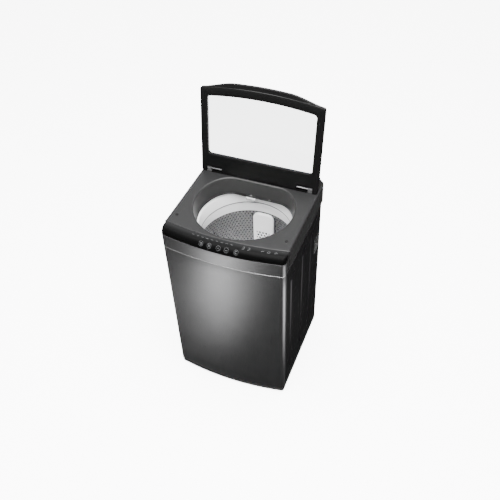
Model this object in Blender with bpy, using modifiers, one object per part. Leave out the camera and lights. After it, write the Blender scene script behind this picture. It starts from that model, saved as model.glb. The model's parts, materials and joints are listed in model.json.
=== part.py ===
"""Top load washing machine, lid open. Metres, +Z up, front at -Y, origin under the footprint's middle."""

import math

import bmesh
import bpy
from mathutils import Matrix, Vector

# Cabinet
WIDTH = 0.550
DEPTH = 0.556
HALF = WIDTH / 2
FRONT_Y = -DEPTH / 2
BACK_Y = DEPTH / 2
BOW = 0.0275  # how far the front swells between its corners
FRONT_CORNER_R = 0.016
BACK_CORNER_R = 0.025
SHEET = 0.0010
GAP = 0.0003  # between pieces that touch
BASE_BOTTOM = 0.012
BASE_TOP = 0.032
BASE_IN = 0.003  # base ring inside the plan outline
BASE_WALL = 0.004
SEAM_Z = 0.825  # top frame meets the steel cabinet
FASCIA_TOP = 0.8925
DECK_Z = 0.924
WRAP_Y = FRONT_Y + 0.046  # the front sheet and the fascia wrap the corner to here
SIDE_STEP = 0.0035  # side sheets sit inside the top frame; their ribs fill the step
BACK_FLANGE = 0.0145  # side sheets run this far behind the back panel
BACK_PANEL_Y = BACK_Y - 0.012

# Ribs pressed out of the side sheets: distance from the back, half width, bottom and top
RIBS = [
    (0.416, 0.027, 0.095, 0.752),
    (0.264, 0.027, 0.095, 0.757),
    (0.144, 0.027, 0.095, 0.762),
    (0.042, 0.015, 0.095, 0.545),
    (0.042, 0.015, 0.665, 0.764),
]
GRIP_Y = (BACK_Y - 0.108, BACK_Y - 0.029)
GRIP_Z = (0.562, 0.648)
GRIP_DEPTH = 0.020
GRIP_WALL = 0.0022

# Top frame
DECK_WALL = 0.0025
DECK_EDGE_R = 0.007
PANEL_CORNER_Y = FRONT_Y + 0.0795  # line between deck and control panel, at the sides
PANEL_BOW = 0.027
PANEL_NOSE_R = 0.027
PANEL_MIDDLE_Y = PANEL_CORNER_Y - PANEL_BOW
BOARD_HALF = 0.150
REAR_COVER_Y = BACK_Y - 0.0785
REAR_COVER_TOP = 0.955
REAR_COVER_IN = 0.004

# Hinge line and the pieces of its posts
LID_GAP = 0.007  # closed lid above the deck
LID_INSIDE = 0.010  # inner face of the closed lid below the axis
HINGE_Y = BACK_Y - 0.0985
HINGE_Z = DECK_Z + LID_GAP + LID_INSIDE
POST_X = HALF - 0.0365
POST_WIDE = 0.020
POST_R = 0.0065
POST_CLEAR = 0.002
PIN_R = 0.003
DAMPER_R = 0.0045
DAMPER_LONG = 0.050

# Deck opening, a D shape round x = 0, y = 0
OPENING_HALF = HALF - 0.054
OPENING_FRONT = -PANEL_MIDDLE_Y - 0.0115
OPENING_BACK = HINGE_Y - 0.017
OPENING_CORNER = 0.121  # width of its rounded back corners
COLLAR_BOTTOM = 0.842
COLLAR_IN = 0.010  # how much narrower the collar is at its bottom

# Lid, in its closed place with its hinge axis as origin
LID_OPEN = math.radians(98.0)
LID_THICK = 0.018
LID_REAR = 0.016  # rear edge behind the axis
LID_LENGTH = LID_REAR + HINGE_Y - PANEL_MIDDLE_Y - 0.001  # rear edge to the middle of the front edge
LID_SIDE = 0.0005
LID_BOW = 0.022
LID_CORNER_R = 0.010
LID_LIP = 0.018  # the pull handle stands out of the front edge
LID_LIP_HALF = 0.120
LID_LIP_FADE = HALF - 0.005
LID_LIP_THICK = 0.012
LID_REAR_R = 0.008
WINDOW_HALF = HALF - 0.033
WINDOW_NEAR = 0.093  # window edges, from the lid's rear edge
WINDOW_FAR = LID_LENGTH - 0.038
WINDOW_BOW = 0.018
WINDOW_R = 0.015
GLASS = 0.004
GLASS_EDGE = 0.004
GLASS_REAR = 0.025

# What sits under the deck, over its back edge and in the back sheet
VALVE_X = -HALF + 0.125
VALVE_Z = 0.893
THREAD_R = 0.0125
SENSOR = (-HALF + 0.050, BACK_Y - 0.053, 0.850)
SWITCH = (HALF - 0.095, BACK_Y - 0.093, 0.893)
BUFFER = (HALF - 0.030, PANEL_CORNER_Y + 0.0485)
OUTLET = (-HALF + 0.105, 0.100)
OUTLET_R = 0.016
GLAND = (HALF - 0.105, 0.720)
GLAND_R = 0.010
SPOUT_X = (-0.052, -0.008)
SPOUT_TALL = 0.0125

# Tub and drum, turned about the axis x = 0, y = TUB_Y
TUB_Y = 0.0135
TUB_R = 0.238
TUB_WALL = 0.003
TUB_BOTTOM = 0.235
TUB_TOP = 0.800
TUB_HOLE_R = 0.030
COVER_TOP = 0.833
RING_R = TUB_R - 0.031  # throat of the tub cover ring
RING_BOTTOM = 0.760
DRUM_R = TUB_R - 0.0155
DRUM_WALL = 0.0010
DRUM_BOTTOM = 0.262
DRUM_TOP = 0.700
BALANCE_TOP = 0.757
BALANCE_R = DRUM_R + 0.005
BALANCE_THROAT = DRUM_R - 0.0133
PULSATOR_R = 0.165
PULSATOR_VANES = 6
PULSATOR_Z = DRUM_BOTTOM + 0.024
SCREW_R = 0.0055
SHAFT_R = 0.010
SHAFT_GAP = 0.0005
SHAFT_WALL = 0.007
FILTER_HALF = 0.052
FILTER_DEPTH = 0.015
FILTER_BACK = math.sqrt((DRUM_R - 0.0008) ** 2 - FILTER_HALF ** 2)  # its back corners clear the drum
FILTER_BOTTOM = 0.430
FILTER_TOP = 0.694
FILTER_CORNER_R = 0.034
FILTER_WALL = 0.002

# Suspension
ROD_OUT = 0.218  # rods stand this far out in X and in Y from the tub axis
ROD_R = 0.004
ROD_TOP = 0.800
ROD_BOTTOM = 0.285
ROD_CAP = 0.006
LUG_Z = (0.330, 0.345)
LUG_PAST = 0.010
HANGER_Z = (0.784, 0.787)
SPRING_R = 0.0105
SPRING_WIRE = 0.0015
SPRING_TURNS = 4

# Drive
PLATE_Z = 0.2265
PLATE_THICK = 0.003
PLATE_R = TUB_R - 0.038
PLATE_HOLE_R = TUB_HOLE_R + 0.002
GEARBOX_R = 0.055
GEARBOX_BOTTOM = 0.125
MOTOR_R = 0.050
MOTOR_BOTTOM = 0.118
MOTOR_SHAFT_R = 0.006
PULLEY_Z = (0.098, 0.112)
PULLEY_R = 0.065
PULLEY_HUB_R = 0.014
MOTOR_PULLEY_R = 0.022
MOTOR_X = PULLEY_R + 0.085
BELT = 0.006
BELT_Z = (0.101, 0.109)
DRAIN_X = -0.130
DRAIN_Z = 0.207
DRAIN_R = 0.018
DRAIN_VALVE_Y = (0.050, 0.120)
DRAIN_MOTOR_Y = (-0.085, -0.020)
DRAIN_ROD_R = 0.004

# Feet
FOOT_X = HALF - 0.043
FOOT_Y = (FRONT_Y + 0.073, BACK_Y - 0.046)
FOOT_R = 0.020
FOOT_PAD = 0.009
STUD_R = 0.006
STUD_TOP = 0.055
BOSS_WALL = 0.010

TUB_AXIS = (0, TUB_Y, 0)
ROD_PLACES = {
    "front_left": (-ROD_OUT, TUB_Y - ROD_OUT),
    "front_right": (ROD_OUT, TUB_Y - ROD_OUT),
    "rear_left": (-ROD_OUT, TUB_Y + ROD_OUT),
    "rear_right": (ROD_OUT, TUB_Y + ROD_OUT),
}

for old in list(bpy.data.objects):
    bpy.data.objects.remove(old, do_unlink=True)
parts = bpy.data.collections.new("top_load_washing_machine")
cutters = bpy.data.collections.new("cutters")
for collection in (parts, cutters):
    bpy.context.scene.collection.children.link(collection)


# Finishes

def finish(name, colour, roughness, metallic=0.0, alpha=1.0):
    """A Principled material of one colour."""
    material = bpy.data.materials.new(name)
    material.use_nodes = True
    shader = material.node_tree.nodes["Principled BSDF"]
    shader.inputs["Base Color"].default_value = (*colour, 1)
    shader.inputs["Roughness"].default_value = roughness
    shader.inputs["Metallic"].default_value = metallic
    shader.inputs["Alpha"].default_value = alpha
    material.diffuse_color = (*colour, alpha)
    return material


TITANIUM = finish("brushed_titanium", (0.15, 0.15, 0.155), 0.32, 0.9)
DARK_PAINT = finish("dark_painted_steel", (0.016, 0.016, 0.018), 0.35)
DECK_GREY = finish("deck_grey_plastic", (0.105, 0.105, 0.108), 0.45)
GLOSS_BLACK = finish("gloss_black_panel", (0.008, 0.008, 0.009), 0.1)
LID_BLACK = finish("lid_black_plastic", (0.009, 0.009, 0.010), 0.35)
GLASS_CLEAR = finish("lid_glass", (0.80, 0.82, 0.82), 0.03, 0.0, 0.35)
BASE_BLACK = finish("base_black_plastic", (0.02, 0.02, 0.021), 0.6)
WHITE = finish("white_plastic", (0.80, 0.80, 0.80), 0.35)
TUB_PLASTIC = finish("tub_plastic", (0.62, 0.62, 0.60), 0.5)
STAINLESS = finish("stainless_drum", (0.42, 0.42, 0.43), 0.3, 1.0)
STEEL = finish("steel", (0.45, 0.45, 0.46), 0.4, 1.0)
ALLOY = finish("cast_alloy", (0.5, 0.5, 0.5), 0.5, 1.0)
RUBBER = finish("rubber", (0.03, 0.03, 0.03), 0.8)
GREY_PLASTIC = finish("grey_plastic", (0.25, 0.25, 0.26), 0.5)
BOARD_GREEN = finish("board_green", (0.02, 0.12, 0.05), 0.5)


# Making tools

def axis_empty(name, place, turn=0.0):
    """An empty on a joint's axis, turned about X."""
    empty = bpy.data.objects.new(name, None)
    empty.location = place
    empty.rotation_euler.x = turn
    empty.empty_display_size = 0.05
    parts.objects.link(empty)
    return empty


def add(name, mesh, material, parent=None, place=(0, 0, 0)):
    """A mesh as an object of the machine; without a material it is a tool for cutting or joining."""
    made = bpy.data.objects.new(name, mesh)
    made.location = place
    if material is None:
        made.hide_render = True
        made.display_type = "WIRE"
        cutters.objects.link(made)
        return made
    mesh.materials.append(material)
    made.parent = parent
    parts.objects.link(made)
    return made


def from_bmesh(name, shape):
    """A bmesh turned into mesh data, its faces pointing out."""
    bmesh.ops.recalc_face_normals(shape, faces=shape.faces)
    mesh = bpy.data.meshes.new(name)
    shape.to_mesh(mesh)
    shape.free()
    return mesh


def smooth(made, angle=35):
    """Round shading, with edges sharper than the angle kept."""
    made.data.shade_smooth()
    made.data.set_sharp_from_angle(angle=math.radians(angle))
    return made


def box(name, low, high, material=None, parent=None, bevel=0.0):
    """A block between two corners, its edges rounded by the bevel."""
    shape = bmesh.new()
    bmesh.ops.create_cube(shape, size=1)
    size = Vector(high) - Vector(low)
    middle = (Vector(high) + Vector(low)) / 2
    place = Matrix.Translation(middle) @ Matrix.Diagonal((*size, 1))
    bmesh.ops.transform(shape, matrix=place, verts=shape.verts)
    if bevel:
        bmesh.ops.bevel(shape, geom=shape.edges[:], offset=bevel, segments=2, profile=0.5, affect="EDGES")
    return add(name, from_bmesh(name, shape), material, parent)


def rod(name, radius, start, end, material=None, parent=None, sides=24):
    """A round bar between two points."""
    start, end = Vector(start), Vector(end)
    run = end - start
    turn = run.to_track_quat("Z", "Y").to_matrix().to_4x4()
    shape = bmesh.new()
    bmesh.ops.create_cone(
        shape, cap_ends=True, segments=sides, radius1=radius, radius2=radius, depth=run.length,
        matrix=Matrix.Translation((start + end) / 2) @ turn,
    )
    return smooth(add(name, from_bmesh(name, shape), material, parent))


def plate(name, outlines, z0, z1, material=None, parent=None, turn=None):
    """A flat plate from a filled 2D curve: the first outline is its edge, the others are holes."""
    curve = bpy.data.curves.new(name, "CURVE")
    curve.dimensions = "2D"
    curve.fill_mode = "BOTH"
    curve.extrude = (z1 - z0) / 2
    for outline in outlines:
        spline = curve.splines.new("POLY")
        spline.points.add(len(outline) - 1)
        for point, (x, y) in zip(spline.points, outline):
            point.co = (x, y, 0, 1)
        spline.use_cyclic_u = True
    made = bpy.data.objects.new(name, curve)
    cutters.objects.link(made)
    flat = bpy.data.meshes.new_from_object(made.evaluated_get(bpy.context.evaluated_depsgraph_get()))
    bpy.data.objects.remove(made)
    shape = bmesh.new()
    shape.from_mesh(flat)
    bmesh.ops.remove_doubles(shape, verts=shape.verts, dist=1e-6)
    bmesh.ops.translate(shape, vec=(0, 0, (z0 + z1) / 2), verts=shape.verts)
    if turn is not None:
        bmesh.ops.transform(shape, matrix=turn, verts=shape.verts)
    return add(name, from_bmesh(name, shape), material, parent)


def turned(name, profile, material=None, parent=None, sides=64, closed=True):
    """A profile of (radius, height) carried round Z by a Screw; a ring's profile is closed."""
    mesh = bpy.data.meshes.new(name)
    count = len(profile)
    edges = [(i, i + 1) for i in range(count - 1)]
    if closed:
        edges.append((count - 1, 0))
    mesh.from_pydata([(r, 0, z) for r, z in profile], edges, [])
    made = add(name, mesh, material, parent)
    screw = made.modifiers.new("turn", "SCREW")
    screw.steps = screw.render_steps = sides
    screw.use_merge_vertices = True
    screw.merge_threshold = 0.00001
    screw.use_smooth_shade = True
    return made


def loft(name, sections, material=None, parent=None, caps=True):
    """A skin over closed sections of equal count, closed at both ends."""
    shape = bmesh.new()
    rings = [[shape.verts.new(point) for point in section] for section in sections]
    count = len(rings[0])
    for lower, upper in zip(rings, rings[1:]):
        for i in range(count):
            j = (i + 1) % count
            shape.faces.new((lower[i], lower[j], upper[j], upper[i]))
    if caps:
        shape.faces.new(rings[0])
        shape.faces.new(rings[-1])
    return add(name, from_bmesh(name, shape), material, parent)


def combine(made, tool, operation):
    """A Boolean with a tool, which then stays as a hidden wire."""
    step = made.modifiers.new(tool.name, "BOOLEAN")
    step.operation = operation
    step.solver = "EXACT"
    step.object = tool
    return made


def cut(made, *tools):
    """Cuts each tool away."""
    for tool in tools:
        combine(made, tool, "DIFFERENCE")
    return made


def join(made, *tools):
    """Joins each tool on."""
    for tool in tools:
        combine(made, tool, "UNION")
    return made


def follow(parent, *tools):
    """Cutting tools of a moving piece go where its axis is."""
    for tool in tools:
        tool.parent = parent
    return tools


# Outlines

def arc(cx, cy, rx, ry, start, end, steps):
    """Points on an ellipse's arc, angles in degrees."""
    angles = [math.radians(start + (end - start) * i / steps) for i in range(steps + 1)]
    return [(cx + rx * math.cos(a), cy + ry * math.sin(a)) for a in angles]


def mirrored(points):
    """The same points on the other side, in reverse order."""
    return [(-x, y) for x, y in reversed(points)]


def front_y(x):
    """The front face's bow: a parabola, deepest in the middle."""
    return FRONT_Y + BOW * (x / HALF) ** 2


def front_path(inset=0.0, bow_steps=14):
    """The front bow with both rounded corners, left to right, moved inwards by the inset."""
    centre_x = HALF - FRONT_CORNER_R
    lean = math.atan(2 * BOW * centre_x / HALF ** 2)
    touch_x = centre_x + FRONT_CORNER_R * math.sin(lean)
    centre_y = front_y(touch_x) + FRONT_CORNER_R * math.cos(lean)
    radius = FRONT_CORNER_R - inset
    corner = arc(centre_x, centre_y, radius, radius, -90 + math.degrees(lean), 0, 4)
    bow = []
    for i in range(1, bow_steps):
        x = touch_x * (2 * i / bow_steps - 1)
        tilt = math.atan(2 * BOW * x / HALF ** 2)
        bow.append((x - inset * math.sin(tilt), front_y(x) + inset * math.cos(tilt)))
    return mirrored(corner) + bow + corner


def back_path(inset=0.0, side=0.0):
    """Both rounded back corners, right to left; side moves the straight sides in further."""
    radius = BACK_CORNER_R - inset
    centre_x = HALF - side - BACK_CORNER_R
    corner = arc(centre_x, BACK_Y - BACK_CORNER_R, radius, radius, 0, 90, 5)
    return corner + mirrored(corner)


def cabinet_outline(inset=0.0):
    """The whole plan of the machine."""
    return front_path(inset) + back_path(inset)


def opening_outline(shrink=0.0):
    """The deck opening: a half ellipse in front, rounded corners and a straight edge behind."""
    side = OPENING_HALF - shrink
    front = arc(0, 0, side, OPENING_FRONT - shrink, 180, 360, 28)
    flat = OPENING_HALF - OPENING_CORNER
    corner = arc(flat, 0, side - flat, OPENING_BACK - shrink, 0, 90, 8)
    return front[:-1] + corner + mirrored(corner)[:-1]


def panel_line(x):
    """The line between the deck and the control panel."""
    return PANEL_CORNER_Y - PANEL_BOW * (1 - (x / HALF) ** 2)


def spread(low, high, steps):
    """Evenly spaced values."""
    return [low + (high - low) * i / steps for i in range(steps + 1)]


def ease(t):
    """0 to 1 with flat ends."""
    t = min(max(t, 0.0), 1.0)
    return t * t * (3 - 2 * t)


# Steel cabinet

def make_base():
    """The moulded ring the cabinet stands on, with a boss for each foot."""
    base = plate("base_frame", [cabinet_outline(BASE_IN), cabinet_outline(BASE_IN + BASE_WALL)],
                 BASE_BOTTOM, BASE_TOP, BASE_BLACK)
    hole = TUB_R + 0.007
    web_edge = cabinet_outline(BASE_IN + BASE_WALL / 2)
    web = plate("base_web", [web_edge, arc(0, TUB_Y, hole, hole, 0, 350, 35)],
                BASE_TOP - BASE_WALL, BASE_TOP)
    join(base, web)
    corners = [(side * FOOT_X, y) for side in (-1, 1) for y in FOOT_Y]
    for x, y in corners:
        join(base, rod("base_boss", STUD_R + BOSS_WALL, (x, y, BASE_BOTTOM + 0.001),
                       (x, y, BASE_TOP + 0.012)))
    for x, y in corners:
        cut(base, rod("stud_hole", STUD_R + GAP, (x, y, 0), (x, y, STUD_TOP + 0.005)))


def make_foot(name, x, y, adjustable):
    """A foot: a rubber-soled pad on a threaded stud."""
    parent = axis_empty(name + "_axis", (x, y, 0)) if adjustable else None
    at = (0, 0) if adjustable else (x, y)
    foot = turned(name, [(0, STUD_TOP), (STUD_R, STUD_TOP), (STUD_R, FOOT_PAD), (FOOT_R - 0.005, FOOT_PAD),
                         (FOOT_R - 0.001, FOOT_PAD - 0.003), (FOOT_R, 0.001), (FOOT_R - 0.001, 0), (0, 0)],
                  RUBBER, parent, sides=20, closed=False)
    foot.location = (*at, 0)


def make_front():
    """The bowed front sheet, which wraps both corners."""
    ends = [(HALF, WRAP_Y)], [(-HALF, WRAP_Y)]
    inner_ends = [(HALF - SHEET, WRAP_Y)], [(-HALF + SHEET, WRAP_Y)]
    outer = ends[1] + front_path() + ends[0]
    inner = inner_ends[0] + list(reversed(front_path(SHEET))) + inner_ends[1]
    plate("front_panel", [outer + inner], BASE_TOP + GAP, SEAM_Z - GAP, TITANIUM)
    plate("front_fascia", [outer + inner], SEAM_Z + GAP, FASCIA_TOP - GAP, TITANIUM)


def make_side(name, side):
    """A side sheet with its pressed ribs, the grip opening and the gussets the suspension hangs from."""
    x = HALF - SIDE_STEP
    radius = BACK_CORNER_R

    def path(inset):
        corner = arc(x - radius, BACK_Y - radius, radius - inset, radius - inset, 0, 90, 4)
        return [(x - inset, WRAP_Y + GAP)] + corner + [(x - radius - BACK_FLANGE, BACK_Y - inset)]

    outline = path(0) + list(reversed(path(SHEET)))
    outline = [(side * px, py) for px, py in outline]
    sheet = plate(name, [outline], BASE_TOP + GAP, SEAM_Z - GAP, DARK_PAINT)
    upright = Matrix(((0, 0, side, 0), (1, 0, 0, 0), (0, 1, 0, 0), (0, 0, 0, 1)))
    for from_back, half, bottom, top in RIBS:
        middle = BACK_Y - from_back
        end = half * 1.6
        ring = arc(middle, top - end, half, end, 0, 180, 8)
        ring += arc(middle, bottom + half, half, half, 180, 360, 8)
        rib = plate("rib", [ring], x - SHEET / 2, HALF, turn=upright)
        shape = bmesh.new()
        shape.from_mesh(rib.data)
        outer_edges = [e for e in shape.edges if all(abs(abs(v.co.x) - HALF) < 1e-6 for v in e.verts)
                       and len(e.link_faces) == 2 and abs(e.calc_face_angle(0.0)) > 1.0]
        bmesh.ops.bevel(shape, geom=outer_edges, offset=SIDE_STEP * 0.8, segments=1, profile=0.5,
                        affect="EDGES")
        shape.to_mesh(rib.data)
        shape.free()
        join(sheet, rib)
    for y in (TUB_Y - ROD_OUT, TUB_Y + ROD_OUT):
        gusset = box("gusset", (side * (ROD_OUT - 0.022), y - 0.020, HANGER_Z[0]),
                     (side * (x - SHEET / 2), y + 0.020, HANGER_Z[1]))
        join(sheet, gusset)
        cut(sheet, rod("hanger_hole", ROD_R + 0.0015, (side * ROD_OUT, y, HANGER_Z[0] - 0.01),
                       (side * ROD_OUT, y, HANGER_Z[1] + 0.01)))
    cut(sheet, box("grip_hole", (side * (x - 0.05), GRIP_Y[0], GRIP_Z[0]),
                   (side * (x + 0.05), GRIP_Y[1], GRIP_Z[1])))


def make_grip(name, side):
    """A moulded cup let into the side sheet, to carry the machine by."""
    lip = HALF - SIDE_STEP
    depth_x = lip - GRIP_DEPTH
    outer = box(name, (side * depth_x, GRIP_Y[0] + GAP, GRIP_Z[0] + GAP),
                (side * (lip + 0.001), GRIP_Y[1] - GAP, GRIP_Z[1] - GAP), BASE_BLACK, bevel=0.0008)
    wall = GAP + GRIP_WALL
    hollow = box("grip_hollow", (side * (depth_x + GRIP_WALL), GRIP_Y[0] + wall, GRIP_Z[0] + wall),
                 (side * (lip + 0.01), GRIP_Y[1] - wall, GRIP_Z[1] - wall))
    cut(outer, hollow)


def make_back():
    """The back sheet with a low service bulge, and what comes through it."""
    into = BACK_PANEL_Y - (BACK_Y - BACK_CORNER_R)  # how far it stands in the side sheets' round corners
    edge = HALF - SIDE_STEP - BACK_CORNER_R + math.sqrt((BACK_CORNER_R - SHEET) ** 2 - into ** 2) - 0.001
    bottom, top = BASE_TOP + GAP, SEAM_Z - GAP
    back = box("back_panel", (-edge, BACK_PANEL_Y - SHEET, bottom), (edge, BACK_PANEL_Y, top), DARK_PAINT)
    behind, inside = BACK_Y + 0.01, BACK_PANEL_Y - 0.04

    def pipe(name, radius, place, y0, y1, material=None):
        return rod(name, radius, (place[0], y0, place[1]), (place[0], y1, place[1]), material)

    cut(back, pipe("outlet_hole", OUTLET_R + 0.0005, OUTLET, inside, behind),
        pipe("gland_hole", GLAND_R + 0.0005, GLAND, inside, behind))
    outlet = pipe("drain_outlet", OUTLET_R, OUTLET, BACK_PANEL_Y - 0.031, BACK_Y - 0.001, GREY_PLASTIC)
    join(outlet, pipe("outlet_flange", OUTLET_R + 0.008, OUTLET, BACK_PANEL_Y + GAP, BACK_PANEL_Y + 0.003))
    cut(outlet, pipe("outlet_bore", OUTLET_R - 0.004, OUTLET, inside, behind))
    gland = pipe("power_cord_gland", GLAND_R, GLAND, BACK_PANEL_Y - 0.016, BACK_Y - 0.004, BASE_BLACK)
    join(gland, pipe("gland_flange", GLAND_R + 0.005, GLAND, BACK_PANEL_Y + GAP, BACK_PANEL_Y + 0.004))
    cut(gland, pipe("gland_bore", GLAND_R - 0.006, GLAND, inside, behind))


# Top frame

def make_deck():
    """The moulded top frame: deck, skirt and the collar that leads laundry down into the drum."""
    deck = plate("top_deck", [cabinet_outline()], SEAM_Z + GAP, DECK_Z, DECK_GREY)
    shape = bmesh.new()
    shape.from_mesh(deck.data)
    rim = [e for e in shape.edges if all(abs(v.co.z - DECK_Z) < 1e-6 for v in e.verts)
           and len(e.link_faces) == 2 and e.calc_face_angle(0.0) > 1.0]
    bmesh.ops.bevel(shape, geom=rim, offset=DECK_EDGE_R, segments=3, profile=0.5, affect="EDGES")
    shape.to_mesh(deck.data)
    shape.free()
    under = plate("deck_hollow", [cabinet_outline(DECK_WALL)], SEAM_Z - 0.02, DECK_Z - DECK_EDGE_R)
    cut(deck, under)
    z_steps = (COLLAR_BOTTOM, DECK_Z - DECK_EDGE_R / 2)
    outer = loft("collar_outside", [[(x, y, z_steps[0]) for x, y in opening_outline(COLLAR_IN - DECK_WALL)],
                                    [(x, y, z_steps[1]) for x, y in opening_outline(-DECK_WALL)]])
    join(deck, outer)
    fall = COLLAR_IN / (DECK_Z - COLLAR_BOTTOM)  # the collar's taper, carried past both its ends
    inner = loft("collar_inside",
                 [[(x, y, COLLAR_BOTTOM - 0.01) for x, y in opening_outline(COLLAR_IN + 0.01 * fall)],
                  [(x, y, DECK_Z + 0.01) for x, y in opening_outline(-0.01 * fall)]])
    cut(deck, inner)
    line = [(x, panel_line(x)) for x in spread(-HALF - 0.01, HALF + 0.01, 16)]
    seat = line + [(HALF + 0.01, FRONT_Y - 0.01), (-HALF - 0.01, FRONT_Y - 0.01)]
    cut(deck, plate("panel_seat", [seat], FASCIA_TOP, DECK_Z + 0.01))
    strip = ([(-HALF - 0.01, WRAP_Y + GAP), (-HALF - 0.01, FRONT_Y - 0.01), (HALF + 0.01, FRONT_Y - 0.01),
              (HALF + 0.01, WRAP_Y + GAP), (HALF - SHEET - GAP, WRAP_Y + GAP)]
             + list(reversed(front_path(SHEET + GAP))) + [(-HALF + SHEET + GAP, WRAP_Y + GAP)])
    cut(deck, plate("fascia_seat", [strip], SEAM_Z - 0.01, FASCIA_TOP + 0.001))
    cut(deck, box("inlet_recess", (VALVE_X - 0.035, BACK_Y - 0.020, VALVE_Z - 0.019),
                  (VALVE_X + 0.035, BACK_Y + 0.02, VALVE_Z + 0.019)))


def nose_section(x, drop=0.0):
    """Control panel section at x: flat from the deck line, then round over the nose to the fascia."""
    shoulder = max(abs(x) - (HALF - DECK_EDGE_R), 0)
    top = DECK_Z - DECK_EDGE_R + math.sqrt(max(DECK_EDGE_R ** 2 - shoulder ** 2, 0))
    bottom = FASCIA_TOP + GAP
    back = panel_line(x) - GAP
    front = front_edge_y(x)
    nose = min(PANEL_NOSE_R, back - front - 0.002)
    points = [(x, back, top), (x, (back + front + nose) / 2, top)]
    for angle in spread(0, 90, 5):
        a = math.radians(angle)
        points.append((x, front + nose - nose * math.sin(a), bottom + (top - bottom) * math.cos(a)))
    if drop:
        points = [(px, py, bottom) for px, py, _ in points]
    return points


def front_edge_y(x):
    """The plan outline's front edge, its corner included."""
    corner_x = HALF - FRONT_CORNER_R
    if abs(x) <= corner_x:
        return front_y(x)
    across = min(abs(x) - corner_x, FRONT_CORNER_R)
    return front_y(corner_x) + FRONT_CORNER_R - math.sqrt(FRONT_CORNER_R ** 2 - across ** 2)


def make_panel():
    """The glossy control panel, a shell that rolls over the front edge, and the board under it."""
    corner = [HALF - 0.016, HALF - 0.010, HALF - 0.006, HALF - 0.003, HALF - 0.001, HALF]
    across = [-x for x in reversed(corner)] + spread(-HALF + 0.04, HALF - 0.04, 10) + corner
    sections = [nose_section(-HALF, 1)] + [nose_section(x) for x in across] + [nose_section(HALF, 1)]
    shape = bmesh.new()
    rows = [[shape.verts.new(point) for point in section] for section in sections]
    for left, right in zip(rows, rows[1:]):
        for i in range(len(left) - 1):
            shape.faces.new((left[i], left[i + 1], right[i + 1], right[i]))
    bmesh.ops.remove_doubles(shape, verts=shape.verts, dist=1e-5)
    panel = add("control_panel", from_bmesh("control_panel", shape), GLOSS_BLACK)
    wall = panel.modifiers.new("wall", "SOLIDIFY")
    wall.thickness = 0.002
    wall.offset = -1
    box("control_board", (-BOARD_HALF, FRONT_Y + 0.026, FASCIA_TOP + 0.002),
        (BOARD_HALF, FRONT_Y + 0.046, FASCIA_TOP + 0.014), BOARD_GREEN)


def make_rear_cover():
    """The raised cover behind the lid, over the water valve."""
    def section(inset, z):
        back = [(x, y, z) for x, y in back_path(REAR_COVER_IN + inset)]
        side = HALF - REAR_COVER_IN - inset
        front = REAR_COVER_Y + inset * 0.3
        return [(-side, front, z), (side, front, z)] + back

    top = REAR_COVER_TOP
    cover = loft("rear_deck_cover", [section(0, DECK_Z + GAP), section(0.002, DECK_Z + 0.010),
                                     section(0.012, top - 0.001), section(0.0145, top)], DECK_GREY)
    under = loft("cover_hollow", [section(0.003, DECK_Z - 0.01), section(0.003, DECK_Z + 0.006),
                                  section(0.015, REAR_COVER_TOP - 0.003)])
    cut(cover, under)


def make_water():
    """Water valve with its hose thread, the spout in the collar, and the small parts under the deck."""
    valve = box("inlet_valve", (VALVE_X - 0.022, BACK_Y - 0.056, VALVE_Z - 0.013),
                (VALVE_X + 0.022, BACK_Y - 0.024, VALVE_Z + 0.013), WHITE, bevel=0.002)
    join(valve, rod("inlet_thread", THREAD_R, (VALVE_X, BACK_Y - 0.028, VALVE_Z),
                    (VALVE_X, BACK_Y - 0.001, VALVE_Z)))
    cut(valve, rod("inlet_bore", THREAD_R - 0.0035, (VALVE_X, BACK_Y - 0.038, VALVE_Z),
                   (VALVE_X, BACK_Y + 0.02, VALVE_Z)))
    back, low, high = OPENING_BACK - COLLAR_IN, COLLAR_BOTTOM - SPOUT_TALL, COLLAR_BOTTOM - GAP
    spout = box("inlet_spout", (SPOUT_X[0], back - 0.010, low), (SPOUT_X[1], back + 0.020, high), DECK_GREY,
                bevel=0.002)
    cut(spout, box("spout_mouth", (SPOUT_X[0] + 0.004, back - 0.02, low + 0.003),
                   (SPOUT_X[1] - 0.004, back + 0.017, high - 0.0032)))
    box("lid_switch", SWITCH, (SWITCH[0] + 0.035, SWITCH[1] + 0.025, DECK_Z - DECK_EDGE_R - GAP),
        BASE_BLACK, bevel=0.001)
    x, y, z = SENSOR
    sensor = rod("pressure_sensor", 0.024, (x, y, z), (x, y, z + 0.022), WHITE)
    join(sensor, rod("sensor_nipple", 0.003, (x, y, z - 0.012), (x, y, z + 0.005), sides=12))
    for name, side in (("lid_buffer_left", -1), ("lid_buffer_right", 1)):
        buffer = turned(name, [(0, LID_GAP - 2 * GAP), (0.004, LID_GAP - 2 * GAP), (0.006, LID_GAP - 0.002),
                               (0.007, GAP), (0, GAP)], RUBBER, sides=16, closed=False)
        buffer.location = (side * BUFFER[0], BUFFER[1], DECK_Z)


# Lid and hinges

def lid_front(x, inset=0.0, lip=True):
    """Distance of the lid's front edge from its rear edge: a bow, with the pull lip in the middle."""
    reach = LID_LENGTH - LID_BOW * (x / HALF) ** 2 - inset
    if lip:
        reach += LID_LIP * (1 - ease((abs(x) - LID_LIP_HALF) / (LID_LIP_FADE - LID_LIP_HALF)))
    return reach


def lid_outline(inset=0.0, lip=True, rear=0.0):
    """The closed lid seen from above, round its hinge axis; rear moves its rear edge forward."""
    half = HALF - LID_SIDE - inset
    radius = max(LID_CORNER_R - inset, 0.003)
    front = [(x, LID_REAR - lid_front(x, inset, lip)) for x in spread(-half + radius, half - radius, 26)]
    rear_y = LID_REAR - rear - inset
    tip = front[-1][1]
    corner = arc(half - radius, tip + radius, radius, radius, -90, 0, 3)[1:]
    rear_corner = arc(half - radius, rear_y - radius, radius, radius, 0, 90, 3)
    right = corner + rear_corner
    return front + right + mirrored(right)


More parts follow.
